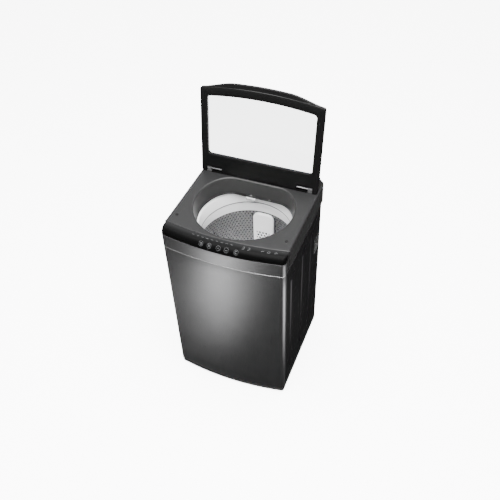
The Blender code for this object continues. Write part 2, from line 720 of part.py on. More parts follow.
def window_outline(grow=0.0):
    """The glazed opening of the lid frame."""
    half = WINDOW_HALF + grow
    radius = WINDOW_R + grow
    near = LID_REAR - WINDOW_NEAR + grow
    far = [(x, LID_REAR - WINDOW_FAR - grow + WINDOW_BOW * (x / WINDOW_HALF) ** 2)
           for x in spread(-half + radius, half - radius, 12)]
    corner = arc(half - radius, far[-1][1] + radius, radius, radius, -80, 0, 3)
    near_corner = arc(half - radius, near - radius, radius, radius, 0, 90, 3)
    right = corner + near_corner
    return far + right + mirrored(right)


def make_lid():
    """Glazed lid: moulded frame with pull lip, glass let into its top, and the hinge pins."""
    axis = axis_empty("lid_hinge_axis", (0, HINGE_Y, HINGE_Z), -LID_OPEN)
    low, high = -LID_INSIDE, LID_THICK - LID_INSIDE
    glass_low = high - GLASS
    frame = plate("lid_frame", [lid_outline(), window_outline()], low, high, LID_BLACK, axis)
    across = Matrix(((0, 0, 1, 0), (1, 0, 0, 0), (0, 1, 0, 0), (0, 0, 0, 1)))
    round_y = LID_REAR - LID_REAR_R
    past_front = LID_REAR - LID_LENGTH - 0.1  # beyond the lip, for the cutters
    side_view = arc(round_y, low + LID_REAR_R, LID_REAR_R, LID_REAR_R, -90, 0, 4)
    side_view += arc(round_y, high - LID_REAR_R, LID_REAR_R, LID_REAR_R, 0, 90, 4)
    side_view += [(past_front, high), (past_front, low)]
    side_view = [(y, min(max(z, low - 0.0001), high + 0.0001)) for y, z in side_view]
    combine(frame, *follow(axis, plate("rear_round", [side_view], -HALF, HALF, turn=across)), "INTERSECT")
    cut(frame, *follow(axis, plate("glass_seat", [lid_outline(GLASS_EDGE, False, GLASS_REAR)],
                                   glass_low - GAP, high + 0.01)))
    glass_edge = lid_outline(GLASS_EDGE + GAP, False, GLASS_REAR)
    plate("lid_glass", [glass_edge], glass_low, high, GLASS_CLEAR, axis)
    beyond = [(x, LID_REAR - lid_front(x, -0.0005, False)) for x in spread(-HALF - 0.01, HALF + 0.01, 20)]
    relief = beyond + [(HALF + 0.01, past_front), (-HALF - 0.01, past_front)]
    cut(frame, *follow(axis, plate("lip_relief", [relief], low - 0.01, high - LID_LIP_THICK)))
    for side, name in ((-1, "left"), (1, "right")):
        inner = POST_X - POST_WIDE / 2 - POST_CLEAR
        outer = POST_X + POST_WIDE / 2 + POST_CLEAR
        pocket = inner - DAMPER_LONG
        cut(frame, *follow(axis,
            box("post_notch", (side * inner, -0.013, low - 0.01), (side * outer, 0.030, high + 0.01)),
            box("damper_pocket", (side * pocket, -0.011, low - 0.01),
                (side * (inner + 0.0005), 0.010, 0.0055)),
            rod("pin_bore", PIN_R + GAP, (side * (outer - 0.001), 0, 0),
                (side * (outer + 0.014), 0, 0), sides=16)))
        pin = rod("hinge_pin_" + name, PIN_R, (side * (inner - 0.002), 0, 0),
                  (side * (outer + 0.013), 0, 0), STEEL, axis, sides=16)
        join(pin, *follow(axis, rod("damper", DAMPER_R, (side * (pocket + GAP), 0, 0),
                                    (side * (inner - 0.001), 0, 0), sides=16)))
        make_post("hinge_post_" + name, side)


def make_post(name, side):
    """An ear on the deck that carries a hinge pin."""
    foot = DECK_Z + GAP - HINGE_Z
    ear = arc(0, 0, POST_R, POST_R, 0, 180, 8) + [(-POST_R, foot), (POST_R, foot)]
    across = Matrix(((0, 0, 1, 0), (1, 0, 0, HINGE_Y), (0, 1, 0, HINGE_Z), (0, 0, 0, 1)))
    middle = side * POST_X
    bore = arc(0, 0, PIN_R + GAP, PIN_R + GAP, 0, 337.5, 15)
    plate(name, [ear, bore], middle - POST_WIDE / 2, middle + POST_WIDE / 2, GREY_PLASTIC, turn=across)


# Tub and suspension

def make_tub():
    """The hanging tub, its cover ring, the steel plate under it and the shaft seal."""
    axis = axis_empty("tub_axis", TUB_AXIS)
    inside = TUB_R - TUB_WALL
    floor = TUB_BOTTOM + 0.004
    tub = turned("outer_tub", [(TUB_R, TUB_TOP), (TUB_R, TUB_BOTTOM), (TUB_HOLE_R, TUB_BOTTOM),
                               (TUB_HOLE_R, floor), (inside, floor), (inside, TUB_TOP)],
                 TUB_PLASTIC, axis, sides=48)
    root = inside + 0.001
    tip = math.hypot(ROD_OUT, ROD_OUT) + LUG_PAST
    for side_x in (-1, 1):
        for side_y in (-1, 1):
            reach = Vector((side_x, side_y, 0)) * ROD_OUT
            turn = Matrix.Rotation(math.atan2(side_y, side_x), 4, "Z")
            lug = plate("lug", [[(root, -0.024), (tip, -0.018), (tip, 0.018), (root, 0.024)]],
                        LUG_Z[0], LUG_Z[1], turn=turn)
            hole = rod("lug_hole", ROD_R + 0.002, reach + Vector((0, 0, LUG_Z[0] - 0.01)),
                       reach + Vector((0, 0, LUG_Z[1] + 0.01)))
            join(tub, *follow(axis, lug))
            cut(tub, *follow(axis, hole))
    out = TUB_R + GAP
    shell = 0.0025
    skirt = TUB_TOP - 0.012
    turned("tub_cover_ring", [(out + shell, COVER_TOP), (out + shell, skirt), (out, skirt),
                              (out, COVER_TOP - 0.003), (RING_R + 0.0045, COVER_TOP - 0.003),
                              (RING_R + shell, RING_BOTTOM), (RING_R, RING_BOTTOM),
                              (RING_R, COVER_TOP - 0.008), (RING_R + 0.003, COVER_TOP)],
           WHITE, axis, sides=48)
    plate_top = PLATE_Z + PLATE_THICK
    turned("tub_support_plate", [(PLATE_R, plate_top), (PLATE_R, PLATE_Z), (PLATE_HOLE_R, PLATE_Z),
                                 (PLATE_HOLE_R, plate_top)], STEEL, axis, sides=32)
    seal_out, seal_in = TUB_HOLE_R - GAP, SHAFT_R + SHAFT_GAP + SHAFT_WALL + GAP
    turned("shaft_seal", [(seal_out, TUB_BOTTOM + 0.010), (seal_out, TUB_BOTTOM - 0.004),
                          (seal_in, TUB_BOTTOM - 0.004), (seal_in, TUB_BOTTOM + 0.010)],
           RUBBER, axis, sides=48)
    return axis


def make_suspension(where, x, y):
    """One hanger: a rod with a ball above the gusset and a cap below, and the spring the tub stands on."""
    cap_top = ROD_BOTTOM + ROD_CAP
    bar = turned("suspension_rod_" + where,
                 [(0, ROD_TOP), (0.008, ROD_TOP), (0.011, ROD_TOP - 0.004), (0.011, HANGER_Z[1] + GAP),
                  (ROD_R, HANGER_Z[1] + GAP), (ROD_R, cap_top), (SPRING_R + 0.0055, cap_top),
                  (SPRING_R + 0.0055, ROD_BOTTOM), (0, ROD_BOTTOM)], STEEL, sides=16, closed=False)
    bar.location = (x, y, 0)
    low = cap_top + SPRING_WIRE + GAP
    high = LUG_Z[0] - SPRING_WIRE - GAP
    curve = bpy.data.curves.new("spring", "CURVE")
    curve.dimensions = "3D"
    curve.bevel_depth = SPRING_WIRE
    curve.bevel_resolution = 1
    curve.use_fill_caps = True
    spline = curve.splines.new("POLY")
    steps = SPRING_TURNS * 8
    spline.points.add(steps)
    for i, point in enumerate(spline.points):
        t = i / steps
        angle = 2 * math.pi * SPRING_TURNS * t
        point.co = (SPRING_R * math.cos(angle), SPRING_R * math.sin(angle), low + (high - low) * t, 1)
    coil = bpy.data.objects.new("spring", curve)
    cutters.objects.link(coil)
    mesh = bpy.data.meshes.new_from_object(coil.evaluated_get(bpy.context.evaluated_depsgraph_get()))
    bpy.data.objects.remove(coil)
    shape = bmesh.new()
    shape.from_mesh(mesh)
    bmesh.ops.remove_doubles(shape, verts=shape.verts, dist=1e-6)
    spring = add("suspension_spring_" + where, from_bmesh("spring", shape), STEEL, None, (x, y, 0))
    spring.data.shade_smooth()


# Drive under the tub

def make_drive(tub_axis):
    """Gearbox, motor, belt and the drain valve, all hung from the tub."""
    turned("gearbox_housing", [(0, PLATE_Z - GAP), (GEARBOX_R, PLATE_Z - GAP), (GEARBOX_R, PLATE_Z - 0.030),
                               (GEARBOX_R - 0.010, GEARBOX_BOTTOM + 0.012), (0.020, GEARBOX_BOTTOM),
                               (0, GEARBOX_BOTTOM)], ALLOY, tub_axis, sides=24, closed=False)
    motor = turned("motor_body", [(0, PLATE_Z - GAP), (MOTOR_R, PLATE_Z - GAP),
                                  (MOTOR_R, MOTOR_BOTTOM + 0.010), (MOTOR_R - 0.012, MOTOR_BOTTOM),
                                  (0, MOTOR_BOTTOM)], ALLOY, tub_axis, sides=32, closed=False)
    motor.location = (MOTOR_X, 0, 0)
    big, small = PULLEY_R + GAP, MOTOR_PULLEY_R + GAP

    def loop(extra):
        lean = math.degrees(math.asin((big - small) / MOTOR_X))
        left = arc(0, 0, big + extra, big + extra, 90 - lean, 270 + lean, 24)
        right = arc(MOTOR_X, 0, small + extra, small + extra, -90 + lean, 90 - lean, 10)
        return left + right

    plate("drive_belt", [loop(BELT), loop(0)], BELT_Z[0], BELT_Z[1], RUBBER, tub_axis)
    pulley_axis = axis_empty("drive_pulley_axis", TUB_AXIS)
    top, rim = GEARBOX_BOTTOM - GAP, PULLEY_R - 0.006
    turned("drive_pulley", [(0, top), (PULLEY_HUB_R, top), (PULLEY_HUB_R, PULLEY_Z[1] - 0.003),
                            (rim, PULLEY_Z[1] - 0.003), (rim, PULLEY_Z[1]), (PULLEY_R, PULLEY_Z[1]),
                            (PULLEY_R, PULLEY_Z[0]), (rim, PULLEY_Z[0]), (rim, PULLEY_Z[0] + 0.004),
                            (0, PULLEY_Z[0] + 0.004)], ALLOY, pulley_axis, sides=32, closed=False)
    motor_axis = axis_empty("motor_axis", (MOTOR_X, TUB_Y, 0))
    bore = MOTOR_SHAFT_R + GAP
    turned("motor_pulley", [(MOTOR_PULLEY_R, PULLEY_Z[1]), (MOTOR_PULLEY_R, PULLEY_Z[0]),
                            (bore, PULLEY_Z[0]), (bore, PULLEY_Z[1])], ALLOY, motor_axis, sides=24)
    top, tip = MOTOR_BOTTOM - GAP, PULLEY_Z[0] - 0.006
    turned("motor_shaft", [(0, top), (MOTOR_SHAFT_R, top), (MOTOR_SHAFT_R, tip), (0, tip)],
           STEEL, motor_axis, sides=24, closed=False)
    valve_front, valve_back = DRAIN_VALVE_Y
    valve = rod("drain_valve", DRAIN_R, (DRAIN_X, valve_front, DRAIN_Z), (DRAIN_X, valve_back, DRAIN_Z),
                GREY_PLASTIC, tub_axis)
    spigot_y = valve_back - 0.020
    join(valve, *follow(tub_axis, rod("drain_spigot", 0.013, (DRAIN_X, spigot_y, DRAIN_Z - 0.042),
                                      (DRAIN_X, spigot_y, DRAIN_Z))))
    cut(valve, *follow(tub_axis, rod("rod_bore", DRAIN_ROD_R + 2 * GAP,
                                     (DRAIN_X, valve_front - 0.010, DRAIN_Z),
                                     (DRAIN_X, valve_back - 0.008, DRAIN_Z), sides=16)))
    box("drain_motor", (DRAIN_X - 0.022, DRAIN_MOTOR_Y[0], DRAIN_Z - 0.022),
        (DRAIN_X + 0.022, DRAIN_MOTOR_Y[1], DRAIN_Z + DRAIN_R), GREY_PLASTIC, tub_axis, bevel=0.002)
    rod_axis = axis_empty("drain_rod_axis", (DRAIN_X, TUB_Y, DRAIN_Z))
    rod("drain_pull_rod", DRAIN_ROD_R, (0, 0, 0), (0, valve_back - 0.015, 0), STEEL, rod_axis, sides=16)


# Drum and pulsator

def make_drum():
    """Steel drum on its base, the balance ring on top, and the hollow spin shaft below."""
    axis = axis_empty("drum_axis", TUB_AXIS)
    turned("drum_wall", [(DRUM_R + DRUM_WALL, DRUM_TOP - GAP), (DRUM_R + DRUM_WALL, DRUM_BOTTOM),
                         (DRUM_R, DRUM_BOTTOM), (DRUM_R, DRUM_TOP - GAP)], STAINLESS, axis, sides=56)
    edge = DRUM_R - GAP * 3
    bore, floor, rim = SHAFT_R + SHAFT_GAP, DRUM_BOTTOM + 0.006, DRUM_BOTTOM + 0.022
    turned("drum_base", [(edge, rim), (edge, DRUM_BOTTOM), (bore, DRUM_BOTTOM), (bore, floor),
                         (PULSATOR_R + 0.005, floor), (edge - 0.004, rim)], WHITE, axis, sides=40)
    throat = BALANCE_THROAT
    turned("balance_ring", [(BALANCE_R, BALANCE_TOP - 0.004), (BALANCE_R, DRUM_TOP),
                            (throat + 0.0068, DRUM_TOP), (throat + 0.0038, DRUM_TOP + 0.018),
                            (throat, BALANCE_TOP - 0.010), (throat, BALANCE_TOP - 0.002),
                            (throat + 0.002, BALANCE_TOP), (BALANCE_R - 0.004, BALANCE_TOP)],
           WHITE, axis, sides=56)
    outside, top = bore + SHAFT_WALL, DRUM_BOTTOM - GAP
    turned("spin_shaft", [(outside, top), (outside, PLATE_Z), (bore, PLATE_Z), (bore, top)],
           STEEL, axis, sides=24)


def make_pulsator():
    """The moulded pulsator with its curved vanes, on its own shaft inside the spin shaft."""
    axis = axis_empty("pulsator_axis", TUB_AXIS)
    low = PULSATOR_Z
    bore = SCREW_R + 0.0007
    vane_end = PULSATOR_R - 0.015
    hub_top = low + 0.030
    disc = turned("pulsator", [(0.030, hub_top), (0.080, low + 0.014), (vane_end, low + 0.008),
                               (PULSATOR_R, low + 0.004), (PULSATOR_R, low), (bore, low), (bore, hub_top)],
                  WHITE, axis, sides=36)
    for i in range(PULSATOR_VANES):
        turn = Matrix.Rotation(2 * math.pi * i / PULSATOR_VANES, 4, "Z")
        ridge = [(0.026, -0.010, 0.031), (vane_end, -0.006, 0.020), (vane_end, 0.006, 0.020),
                 (0.026, 0.010, 0.031)]
        foot = [(0.020, -0.016, 0.004), (vane_end + 0.008, -0.014, 0.004), (vane_end + 0.008, 0.014, 0.004),
                (0.020, 0.016, 0.004)]
        sections = [[turn @ Vector((x, y, low + z)) for x, y, z in ring] for ring in (foot, ridge)]
        join(disc, *follow(axis, loft("vane", sections)))
    shaft_top, shaft_end = low - GAP, PLATE_Z + GAP
    turned("pulsator_shaft", [(0, shaft_top), (SHAFT_R, shaft_top), (SHAFT_R, shaft_end), (0, shaft_end)],
           STEEL, axis, sides=24, closed=False)
    head, seat = low + 0.037, low + 0.0315
    turned("pulsator_screw", [(0, head), (0.009, head), (0.010, head - 0.003), (0.010, seat),
                              (SCREW_R, seat), (SCREW_R, low), (0, low)],
           STEEL, axis, sides=16, closed=False)


def make_filter():
    """The lint filter cartridge that clips to the drum wall, open behind."""
    axis = axis_empty("lint_filter_axis", (0, TUB_Y + FILTER_BACK, 0))
    facing = Matrix(((1, 0, 0, 0), (0, 0, 1, 0), (0, 1, 0, 0), (0, 0, 0, 1)))

    def face(inset):
        half = FILTER_HALF - inset
        top = FILTER_TOP - inset
        radius = FILTER_CORNER_R - inset
        corner = arc(half - radius, top - radius, radius, radius, 0, 90, 5)
        return [(-half, FILTER_BOTTOM + inset), (half, FILTER_BOTTOM + inset)] + corner + mirrored(corner)

    shell = plate("lint_filter", [face(0)], -FILTER_DEPTH, 0, WHITE, axis, turn=facing)
    cut(shell, *follow(axis, plate("filter_hollow", [face(FILTER_WALL)], FILTER_WALL - FILTER_DEPTH, 0.01,
                                   turn=facing)))


make_base()
for foot_name, fx, fy, moves in (
    ("foot_front_left", -FOOT_X, FOOT_Y[0], True), ("foot_front_right", FOOT_X, FOOT_Y[0], True),
    ("foot_rear_left", -FOOT_X, FOOT_Y[1], False), ("foot_rear_right", FOOT_X, FOOT_Y[1], False),
):
    make_foot(foot_name, fx, fy, moves)
make_front()
for side_name, side_sign in (("left", -1), ("right", 1)):
    make_side(side_name + "_side_panel", side_sign)
    make_grip("carry_grip_" + side_name, side_sign)
make_back()
make_deck()
make_panel()
make_rear_cover()
make_water()
make_lid()
make_drive(make_tub())
for corner_name, (rod_x, rod_y) in ROD_PLACES.items():
    make_suspension(corner_name, rod_x, rod_y)
make_drum()
make_pulsator()
make_filter()
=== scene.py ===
import json
import math

import bmesh
import bpy
import numpy as np
from mathutils import Matrix, Vector


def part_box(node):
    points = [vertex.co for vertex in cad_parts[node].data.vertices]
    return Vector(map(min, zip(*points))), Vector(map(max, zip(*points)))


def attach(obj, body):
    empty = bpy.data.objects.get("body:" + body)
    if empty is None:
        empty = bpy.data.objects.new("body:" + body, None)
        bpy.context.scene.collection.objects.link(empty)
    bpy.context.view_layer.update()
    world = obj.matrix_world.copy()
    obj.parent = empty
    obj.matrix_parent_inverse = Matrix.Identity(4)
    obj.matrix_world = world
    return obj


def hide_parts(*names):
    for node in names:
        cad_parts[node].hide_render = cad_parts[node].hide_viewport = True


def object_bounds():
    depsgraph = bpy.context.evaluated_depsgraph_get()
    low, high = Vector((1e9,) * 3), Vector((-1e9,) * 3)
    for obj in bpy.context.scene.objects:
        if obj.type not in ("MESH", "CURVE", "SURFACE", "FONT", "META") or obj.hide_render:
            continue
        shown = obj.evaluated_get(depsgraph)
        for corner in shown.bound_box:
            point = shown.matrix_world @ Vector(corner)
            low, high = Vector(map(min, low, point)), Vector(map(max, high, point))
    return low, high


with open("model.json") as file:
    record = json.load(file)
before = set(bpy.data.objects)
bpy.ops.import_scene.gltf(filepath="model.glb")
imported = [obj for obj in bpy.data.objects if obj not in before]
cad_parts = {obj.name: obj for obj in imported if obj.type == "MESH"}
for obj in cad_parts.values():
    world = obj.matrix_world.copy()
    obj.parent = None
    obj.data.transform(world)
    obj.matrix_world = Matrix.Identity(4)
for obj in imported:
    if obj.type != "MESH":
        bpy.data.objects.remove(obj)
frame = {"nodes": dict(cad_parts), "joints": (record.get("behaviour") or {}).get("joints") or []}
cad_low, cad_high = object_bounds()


# Base and feet.
# A black moulded ring carries the cabinet; four rubber feet on threaded studs stand under its corners.
# The base is one moulding, and the two front feet screw in and out.

def wire(tree, kind, inputs=(), **settings):
    """A shader node with its settings, each (socket, value or other node's output) set or linked."""
    node = tree.nodes.new(kind)
    for key, value in settings.items():
        setattr(node, key, value)
    for key, value in inputs:
        socket = node.inputs[key]
        if isinstance(value, bpy.types.NodeSocket):
            tree.links.new(value, socket)
        else:
            socket.default_value = value
    return node


def moulding(name, colour, roughness, grain=0.0006, depth=0.00004, mottle=0.08, **sockets):
    """Moulded or painted skin: fine noise of `grain` metres gives the bump, and a broad noise shifts the
    colour by `mottle` and the roughness a little. `sockets` are the shader's own values."""
    material = bpy.data.materials.new(name)
    material.use_nodes = True
    tree = material.node_tree
    shader = tree.nodes["Principled BSDF"]
    place = wire(tree, "ShaderNodeTexCoord").outputs["Object"]
    fine = wire(tree, "ShaderNodeTexNoise", [("Vector", place), ("Scale", 1 / grain), ("Detail", 2.0)])
    broad = wire(tree, "ShaderNodeTexNoise", [("Vector", place), ("Scale", 9.0), ("Detail", 3.0)])
    low = [c * (1 - mottle) for c in colour] + [1]
    high = [c * (1 + mottle) for c in colour] + [1]
    tint = wire(tree, "ShaderNodeMix", [("Factor", broad.outputs["Fac"]), ("A", low), ("B", high)],
                data_type="RGBA")
    gloss = wire(tree, "ShaderNodeMapRange", [("Value", broad.outputs["Fac"]), ("To Min", roughness * 0.9),
                                              ("To Max", roughness * 1.12)])
    bump = wire(tree, "ShaderNodeBump", [("Height", fine.outputs["Fac"]), ("Distance", depth),
                                         ("Strength", 0.6)])
    tree.links.new(tint.outputs["Result"], shader.inputs["Base Color"])
    tree.links.new(gloss.outputs["Result"], shader.inputs["Roughness"])
    tree.links.new(bump.outputs["Normal"], shader.inputs["Normal"])
    for key, value in sockets.items():
        shader.inputs[key.replace("_", " ")].default_value = value
    return material


def refinish(material, *nodes):
    """Gives CAD nodes whose shape is right their finish."""
    for node in nodes:
        for slot in frame["nodes"][node].material_slots:
            slot.material = material


base_black = moulding("base_black", (0.012, 0.012, 0.0125), 0.55)
foot_rubber = moulding("foot_rubber", (0.018, 0.018, 0.018), 0.8, grain=0.0004)
refinish(base_black, "base_frame", "power_cord_gland", "lid_switch")
refinish(foot_rubber, "foot_front_left", "foot_front_right", "foot_rear_left", "foot_rear_right",
         "drive_belt", "shaft_seal")


# Front sheet and fascia.
# One bowed sheet of dark titanium steel, brushed upwards and bent round both front corners. The fascia
# above it is the same sheet cut off at the seam. Both have their edges rolled in.

front_low, front_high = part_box("front_panel")
fascia_low, fascia_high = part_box("front_fascia")
half = front_high[0]
front_y = front_low[1]
wrap_y = front_high[1]
bow = 0.0275
front_corner = 0.016
sheet = 0.001
roll = 0.0016


def bow_line(x):
    """Depth of the front's bow at x: a parabola, furthest forward in the middle."""
    return front_y + bow * (x / half) ** 2


def bow_path(inset, steps=120):
    """The bow as points from left to right: the parabola moved in along its normals, and an arc round each
    corner to where the side starts."""
    centre_x = half - front_corner
    lean = math.atan(2 * bow * centre_x / half ** 2)
    touch_x = centre_x + front_corner * math.sin(lean)
    centre_y = bow_line(touch_x) + front_corner * math.cos(lean)
    turn = np.linspace(lean - math.pi / 2, 0, 14)
    radius = front_corner - inset
    corner = np.stack([centre_x + radius * np.cos(turn), centre_y + radius * np.sin(turn)], axis=1)
    x = np.linspace(-touch_x, touch_x, steps)[1:-1]
    tilt = np.arctan(2 * bow * x / half ** 2)
    middle = np.stack([x - inset * np.sin(tilt), bow_line(x) + inset * np.cos(tilt)], axis=1)
    mirrored = corner[::-1] * (-1, 1)
    end = np.array([[half - inset, wrap_y]])
    return np.vstack([end * (-1, 1), mirrored, middle, corner, end])


def skin(name, points, material, body, nodes=(), ring_rows=False, ring_columns=False, caps=False,
         wall=0.0, hole=None, flip=False, sharp=40.0, uv=None):
    """Quads between neighbouring points of a (rows, columns, 3) grid. The last row joins the first if
    ring_rows, and the last column the first if ring_columns; caps close the first and last row; hole is a
    mask of quads left out. A wall is added on the inner side. A closed skin turns its own faces
    outwards."""
    rows, columns = points.shape[:2]
    index = np.arange(rows * columns).reshape(rows, columns)
    right = np.roll(index, -1, axis=1)
    quads = np.stack([index, right, np.roll(right, -1, axis=0), np.roll(index, -1, axis=0)], axis=-1)
    if not ring_rows:
        quads = quads[:-1]
    if not ring_columns:
        quads = quads[:, :-1]
    if flip:
        quads = quads[..., ::-1]
    faces = quads[~hole] if hole is not None else quads.reshape(-1, 4)
    faces = faces.tolist()
    if caps:
        faces += [index[0].tolist()[::-1], index[-1].tolist()]
    mesh = bpy.data.meshes.new(name)
    mesh.from_pydata(points.reshape(-1, 3).tolist(), [], faces)
    if uv is not None:
        corners = np.zeros(len(mesh.loops), dtype=np.int32)
        mesh.loops.foreach_get("vertex_index", corners)
        mesh.uv_layers.new(name="metres").data.foreach_set("uv", uv.reshape(-1, 2)[corners].ravel())
    shape = bmesh.new()
    shape.from_mesh(mesh)
    bmesh.ops.remove_doubles(shape, verts=shape.verts, dist=1e-6)
    bmesh.ops.dissolve_degenerate(shape, dist=1e-7, edges=shape.edges)
    if not wall:
        bmesh.ops.recalc_face_normals(shape, faces=shape.faces)
    shape.to_mesh(mesh)
    shape.free()
    mesh.materials.append(material)
    mesh.shade_smooth()
    mesh.set_sharp_from_angle(angle=math.radians(sharp))
    piece = bpy.data.objects.new(name, mesh)
    bpy.context.scene.collection.objects.link(piece)
    if wall:
        inner = piece.modifiers.new("wall", "SOLIDIFY")
        inner.thickness = wall
        inner.offset = -1
    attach(piece, body)
    if nodes:
        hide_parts(*nodes)
    return piece


def brushed(name, colour, roughness, along, spread_by=900.0, depth=0.00003, metallic=1.0, **sockets):
    """Brushed sheet: noise stretched along one axis gives the fine lines in bump and roughness."""
    material = moulding(name, colour, roughness, mottle=0.05, Metallic=metallic, **sockets)
    tree = material.node_tree
    shader = tree.nodes["Principled BSDF"]
    place = wire(tree, "ShaderNodeTexCoord").outputs["Object"]
    stretch = wire(tree, "ShaderNodeMapping", [("Vector", place)])
    stretch.inputs["Scale"].default_value = [6.0 if i == along else spread_by for i in range(3)]
    lines = wire(tree, "ShaderNodeTexNoise", [("Vector", stretch.outputs["Vector"]), ("Scale", 1.0),
                                              ("Detail", 4.0), ("Roughness", 0.7)])
    gloss = wire(tree, "ShaderNodeMapRange", [("Value", lines.outputs["Fac"]), ("From Min", 0.3),
                                              ("From Max", 0.7),
                                              ("To Min", roughness * 0.8), ("To Max", roughness * 1.2)])
    bump = wire(tree, "ShaderNodeBump", [("Height", lines.outputs["Fac"]), ("Distance", depth),
                                         ("Strength", 0.35)])
    tree.links.new(gloss.outputs["Result"], shader.inputs["Roughness"])
    tree.links.new(bump.outputs["Normal"], shader.inputs["Normal"])
    return material


titanium = brushed("brushed_titanium", (0.34, 0.34, 0.345), 0.34, along=2)


def bowed_sheet(name, low, high):
    """The bow path carried from low to high, its top and bottom edge rolled in on a quarter circle."""
    turn = np.linspace(0, math.pi / 2, 5)
    insets = roll * (1 - np.sin(turn))
    rises = roll * (1 - np.cos(turn))
    rows = [(inset, low + rise) for inset, rise in zip(insets, rises)]
    rows += [(0.0, z) for z in np.linspace(low + roll, high - roll, 12)[1:-1]]
    rows += [(inset, high - rise) for inset, rise in zip(insets[::-1], rises[::-1])]
    points = np.stack([np.column_stack([bow_path(inset), np.full(len(bow_path(inset)), z)])
                       for inset, z in rows])
    return skin(name + "_sheet", points, titanium, "cabinet", [name], wall=sheet)


bowed_sheet("front_panel", front_low[2], front_high[2])
bowed_sheet("front_fascia", fascia_low[2], fascia_high[2])


# Bright trims.
# A thin bright strip shows in the seam under the fascia and another under the control panel.
# They are edges of the plated carrier that the sheets clip to.

trim_steel = brushed("trim_steel", (0.38, 0.38, 0.39), 0.4, along=0)


def trim(name, z, tall, inset):
    """A strip of height tall along the bow path, inset from the sheets."""
    rows = [(inset + 0.0008, z), (inset, z + tall * 0.25), (inset, z + tall * 0.75),
            (inset + 0.0008, z + tall)]
    points = np.stack([np.column_stack([bow_path(i), np.full(len(bow_path(i)), h)]) for i, h in rows])
    skin(name, points, trim_steel, "cabinet", wall=0.0006)


trim("seam_trim", front_high[2] - 0.0006, 0.0018, 0.0009)
trim("panel_trim", fascia_high[2] - 0.0014, 0.0016, 0.0004)


def side_trim(name, side):
    """The seam strip carried on along a side, from the front corner to the back one."""
    y = np.linspace(wrap_y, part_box("top_deck")[1][1] - 0.026, 40)
    low = front_high[2] - 0.0012
    section = [(half - 0.0012, low), (half - 0.0004, low + 0.0005), (half - 0.0004, low + 0.0016)]
    points = np.stack([np.column_stack([np.full(40, x * side), y, np.full(40, z)]) for x, z in section])
    skin(name, points, trim_steel, "cabinet", wall=0.0005, flip=side < 0)


side_trim("side_trim_right", 1)
side_trim("side_trim_left", -1)


# Side sheets.
# Near-black painted steel with four vertical ribs pressed outwards, the last one broken by the carry grip.
# The sheet turns round the back corner and is screwed to the back panel.

side_low, side_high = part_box("right_side_panel")
deck_low, deck_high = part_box("top_deck")
side_step = 0.0035
back_y = deck_high[1]
back_corner = 0.025
side_x = half - side_step
grip_low, grip_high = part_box("carry_grip_right")
rib_tops = [(0.416, 0.027, 0.095, 0.752), (0.264, 0.027, 0.095, 0.757), (0.144, 0.027, 0.095, 0.762),
            (0.042, 0.015, 0.095, 0.545), (0.042, 0.015, 0.665, 0.764)]
paint = moulding("dark_paint", (0.0018, 0.0018, 0.0019), 0.29, grain=0.0011, depth=0.00001,
                 Specular_IOR_Level=0.30)


def ease(t):
    """Smooth step: 0 below 0, 1 above 1, level at both ends."""
    t = np.clip(t, 0, 1)
    return t * t * (3 - 2 * t)


def ribs(y, z):
    """Height of the pressing at (y, z): each rib rises over a 9 mm flank from an edge that is straight
    along its sides, round at its bottom, and at its top runs up towards the back."""
    height = np.zeros_like(y)
    for from_back, wide, bottom, top in rib_tops:
        middle = back_y - from_back
        sideways = wide - np.abs(y - middle)
        below = wide - np.hypot(y - middle, np.minimum(z - bottom - wide, 0))
        above = (top - 0.55 * (middle + wide - y) - z) * 0.8
        height = np.maximum(height, ease(np.minimum(np.minimum(sideways, below), above) / 0.009))
    return height * side_step * 0.94


def side_sheet(name, side):
    """A sheet over distance along its plan path and height, pushed out by the ribs."""
    start = wrap_y + 0.0003
    bend = back_y - back_corner
    flat = [np.linspace(start, bend, 60)]
    for from_back, wide, _, _ in rib_tops[:4]:
        for edge in (-wide, wide):
            rib_edge = back_y - from_back + edge
            flat.append(np.linspace(rib_edge - 0.011, rib_edge + 0.011, 12))
    flat = np.unique(np.concatenate(flat).round(5))
    flat = flat[(flat >= start) & (flat <= bend)]
    heights = [np.linspace(side_low[2], side_high[2], 50)]
    for _, _, bottom, top in rib_tops:
        heights += [np.linspace(bottom - 0.004, bottom + 0.042, 14),
                    np.linspace(top - 0.05, top + 0.004, 20)]
    heights = np.unique(np.concatenate(heights).round(5))
    heights = heights[(heights >= side_low[2]) & (heights <= side_high[2])]
    y, z = np.meshgrid(flat, heights)
    body = np.stack([side_x + ribs(y, z), y, z], axis=-1)
    turn = np.linspace(0, math.pi / 2, 9)[1:]
    round_x = side_x - back_corner + back_corner * np.cos(turn)
    round_y = bend + back_corner * np.sin(turn)
    round_x = np.append(round_x, round_x[-1] - 0.0145)
    round_y = np.append(round_y, round_y[-1])
    corner = np.stack([np.broadcast_to(round_x, (len(heights), len(round_x))),
                       np.broadcast_to(round_y, (len(heights), len(round_y))),
                       np.broadcast_to(heights[:, None], (len(heights), len(round_x)))], axis=-1)
    points = np.concatenate([body, corner], axis=1) * (side, 1, 1)
    centre = (points[:-1, :-1] + points[1:, 1:]) / 2
    hole = ((centre[..., 1] > grip_low[1] + 0.002) & (centre[..., 1] < grip_high[1] - 0.002)
            & (centre[..., 2] > grip_low[2] + 0.002) & (centre[..., 2] < grip_high[2] - 0.002)
            & (np.abs(centre[..., 0]) > side_x - 0.004))
    skin(name + "_sheet", points, paint, "cabinet", [name], wall=sheet, hole=hole,
         flip=side < 0)


side_sheet("right_side_panel", 1)
side_sheet("left_side_panel", -1)


# Carry grips.
# A black moulded cup pushed into each side sheet, with a soft flange that covers the cut edge.
# The fingers go in to lift the machine.

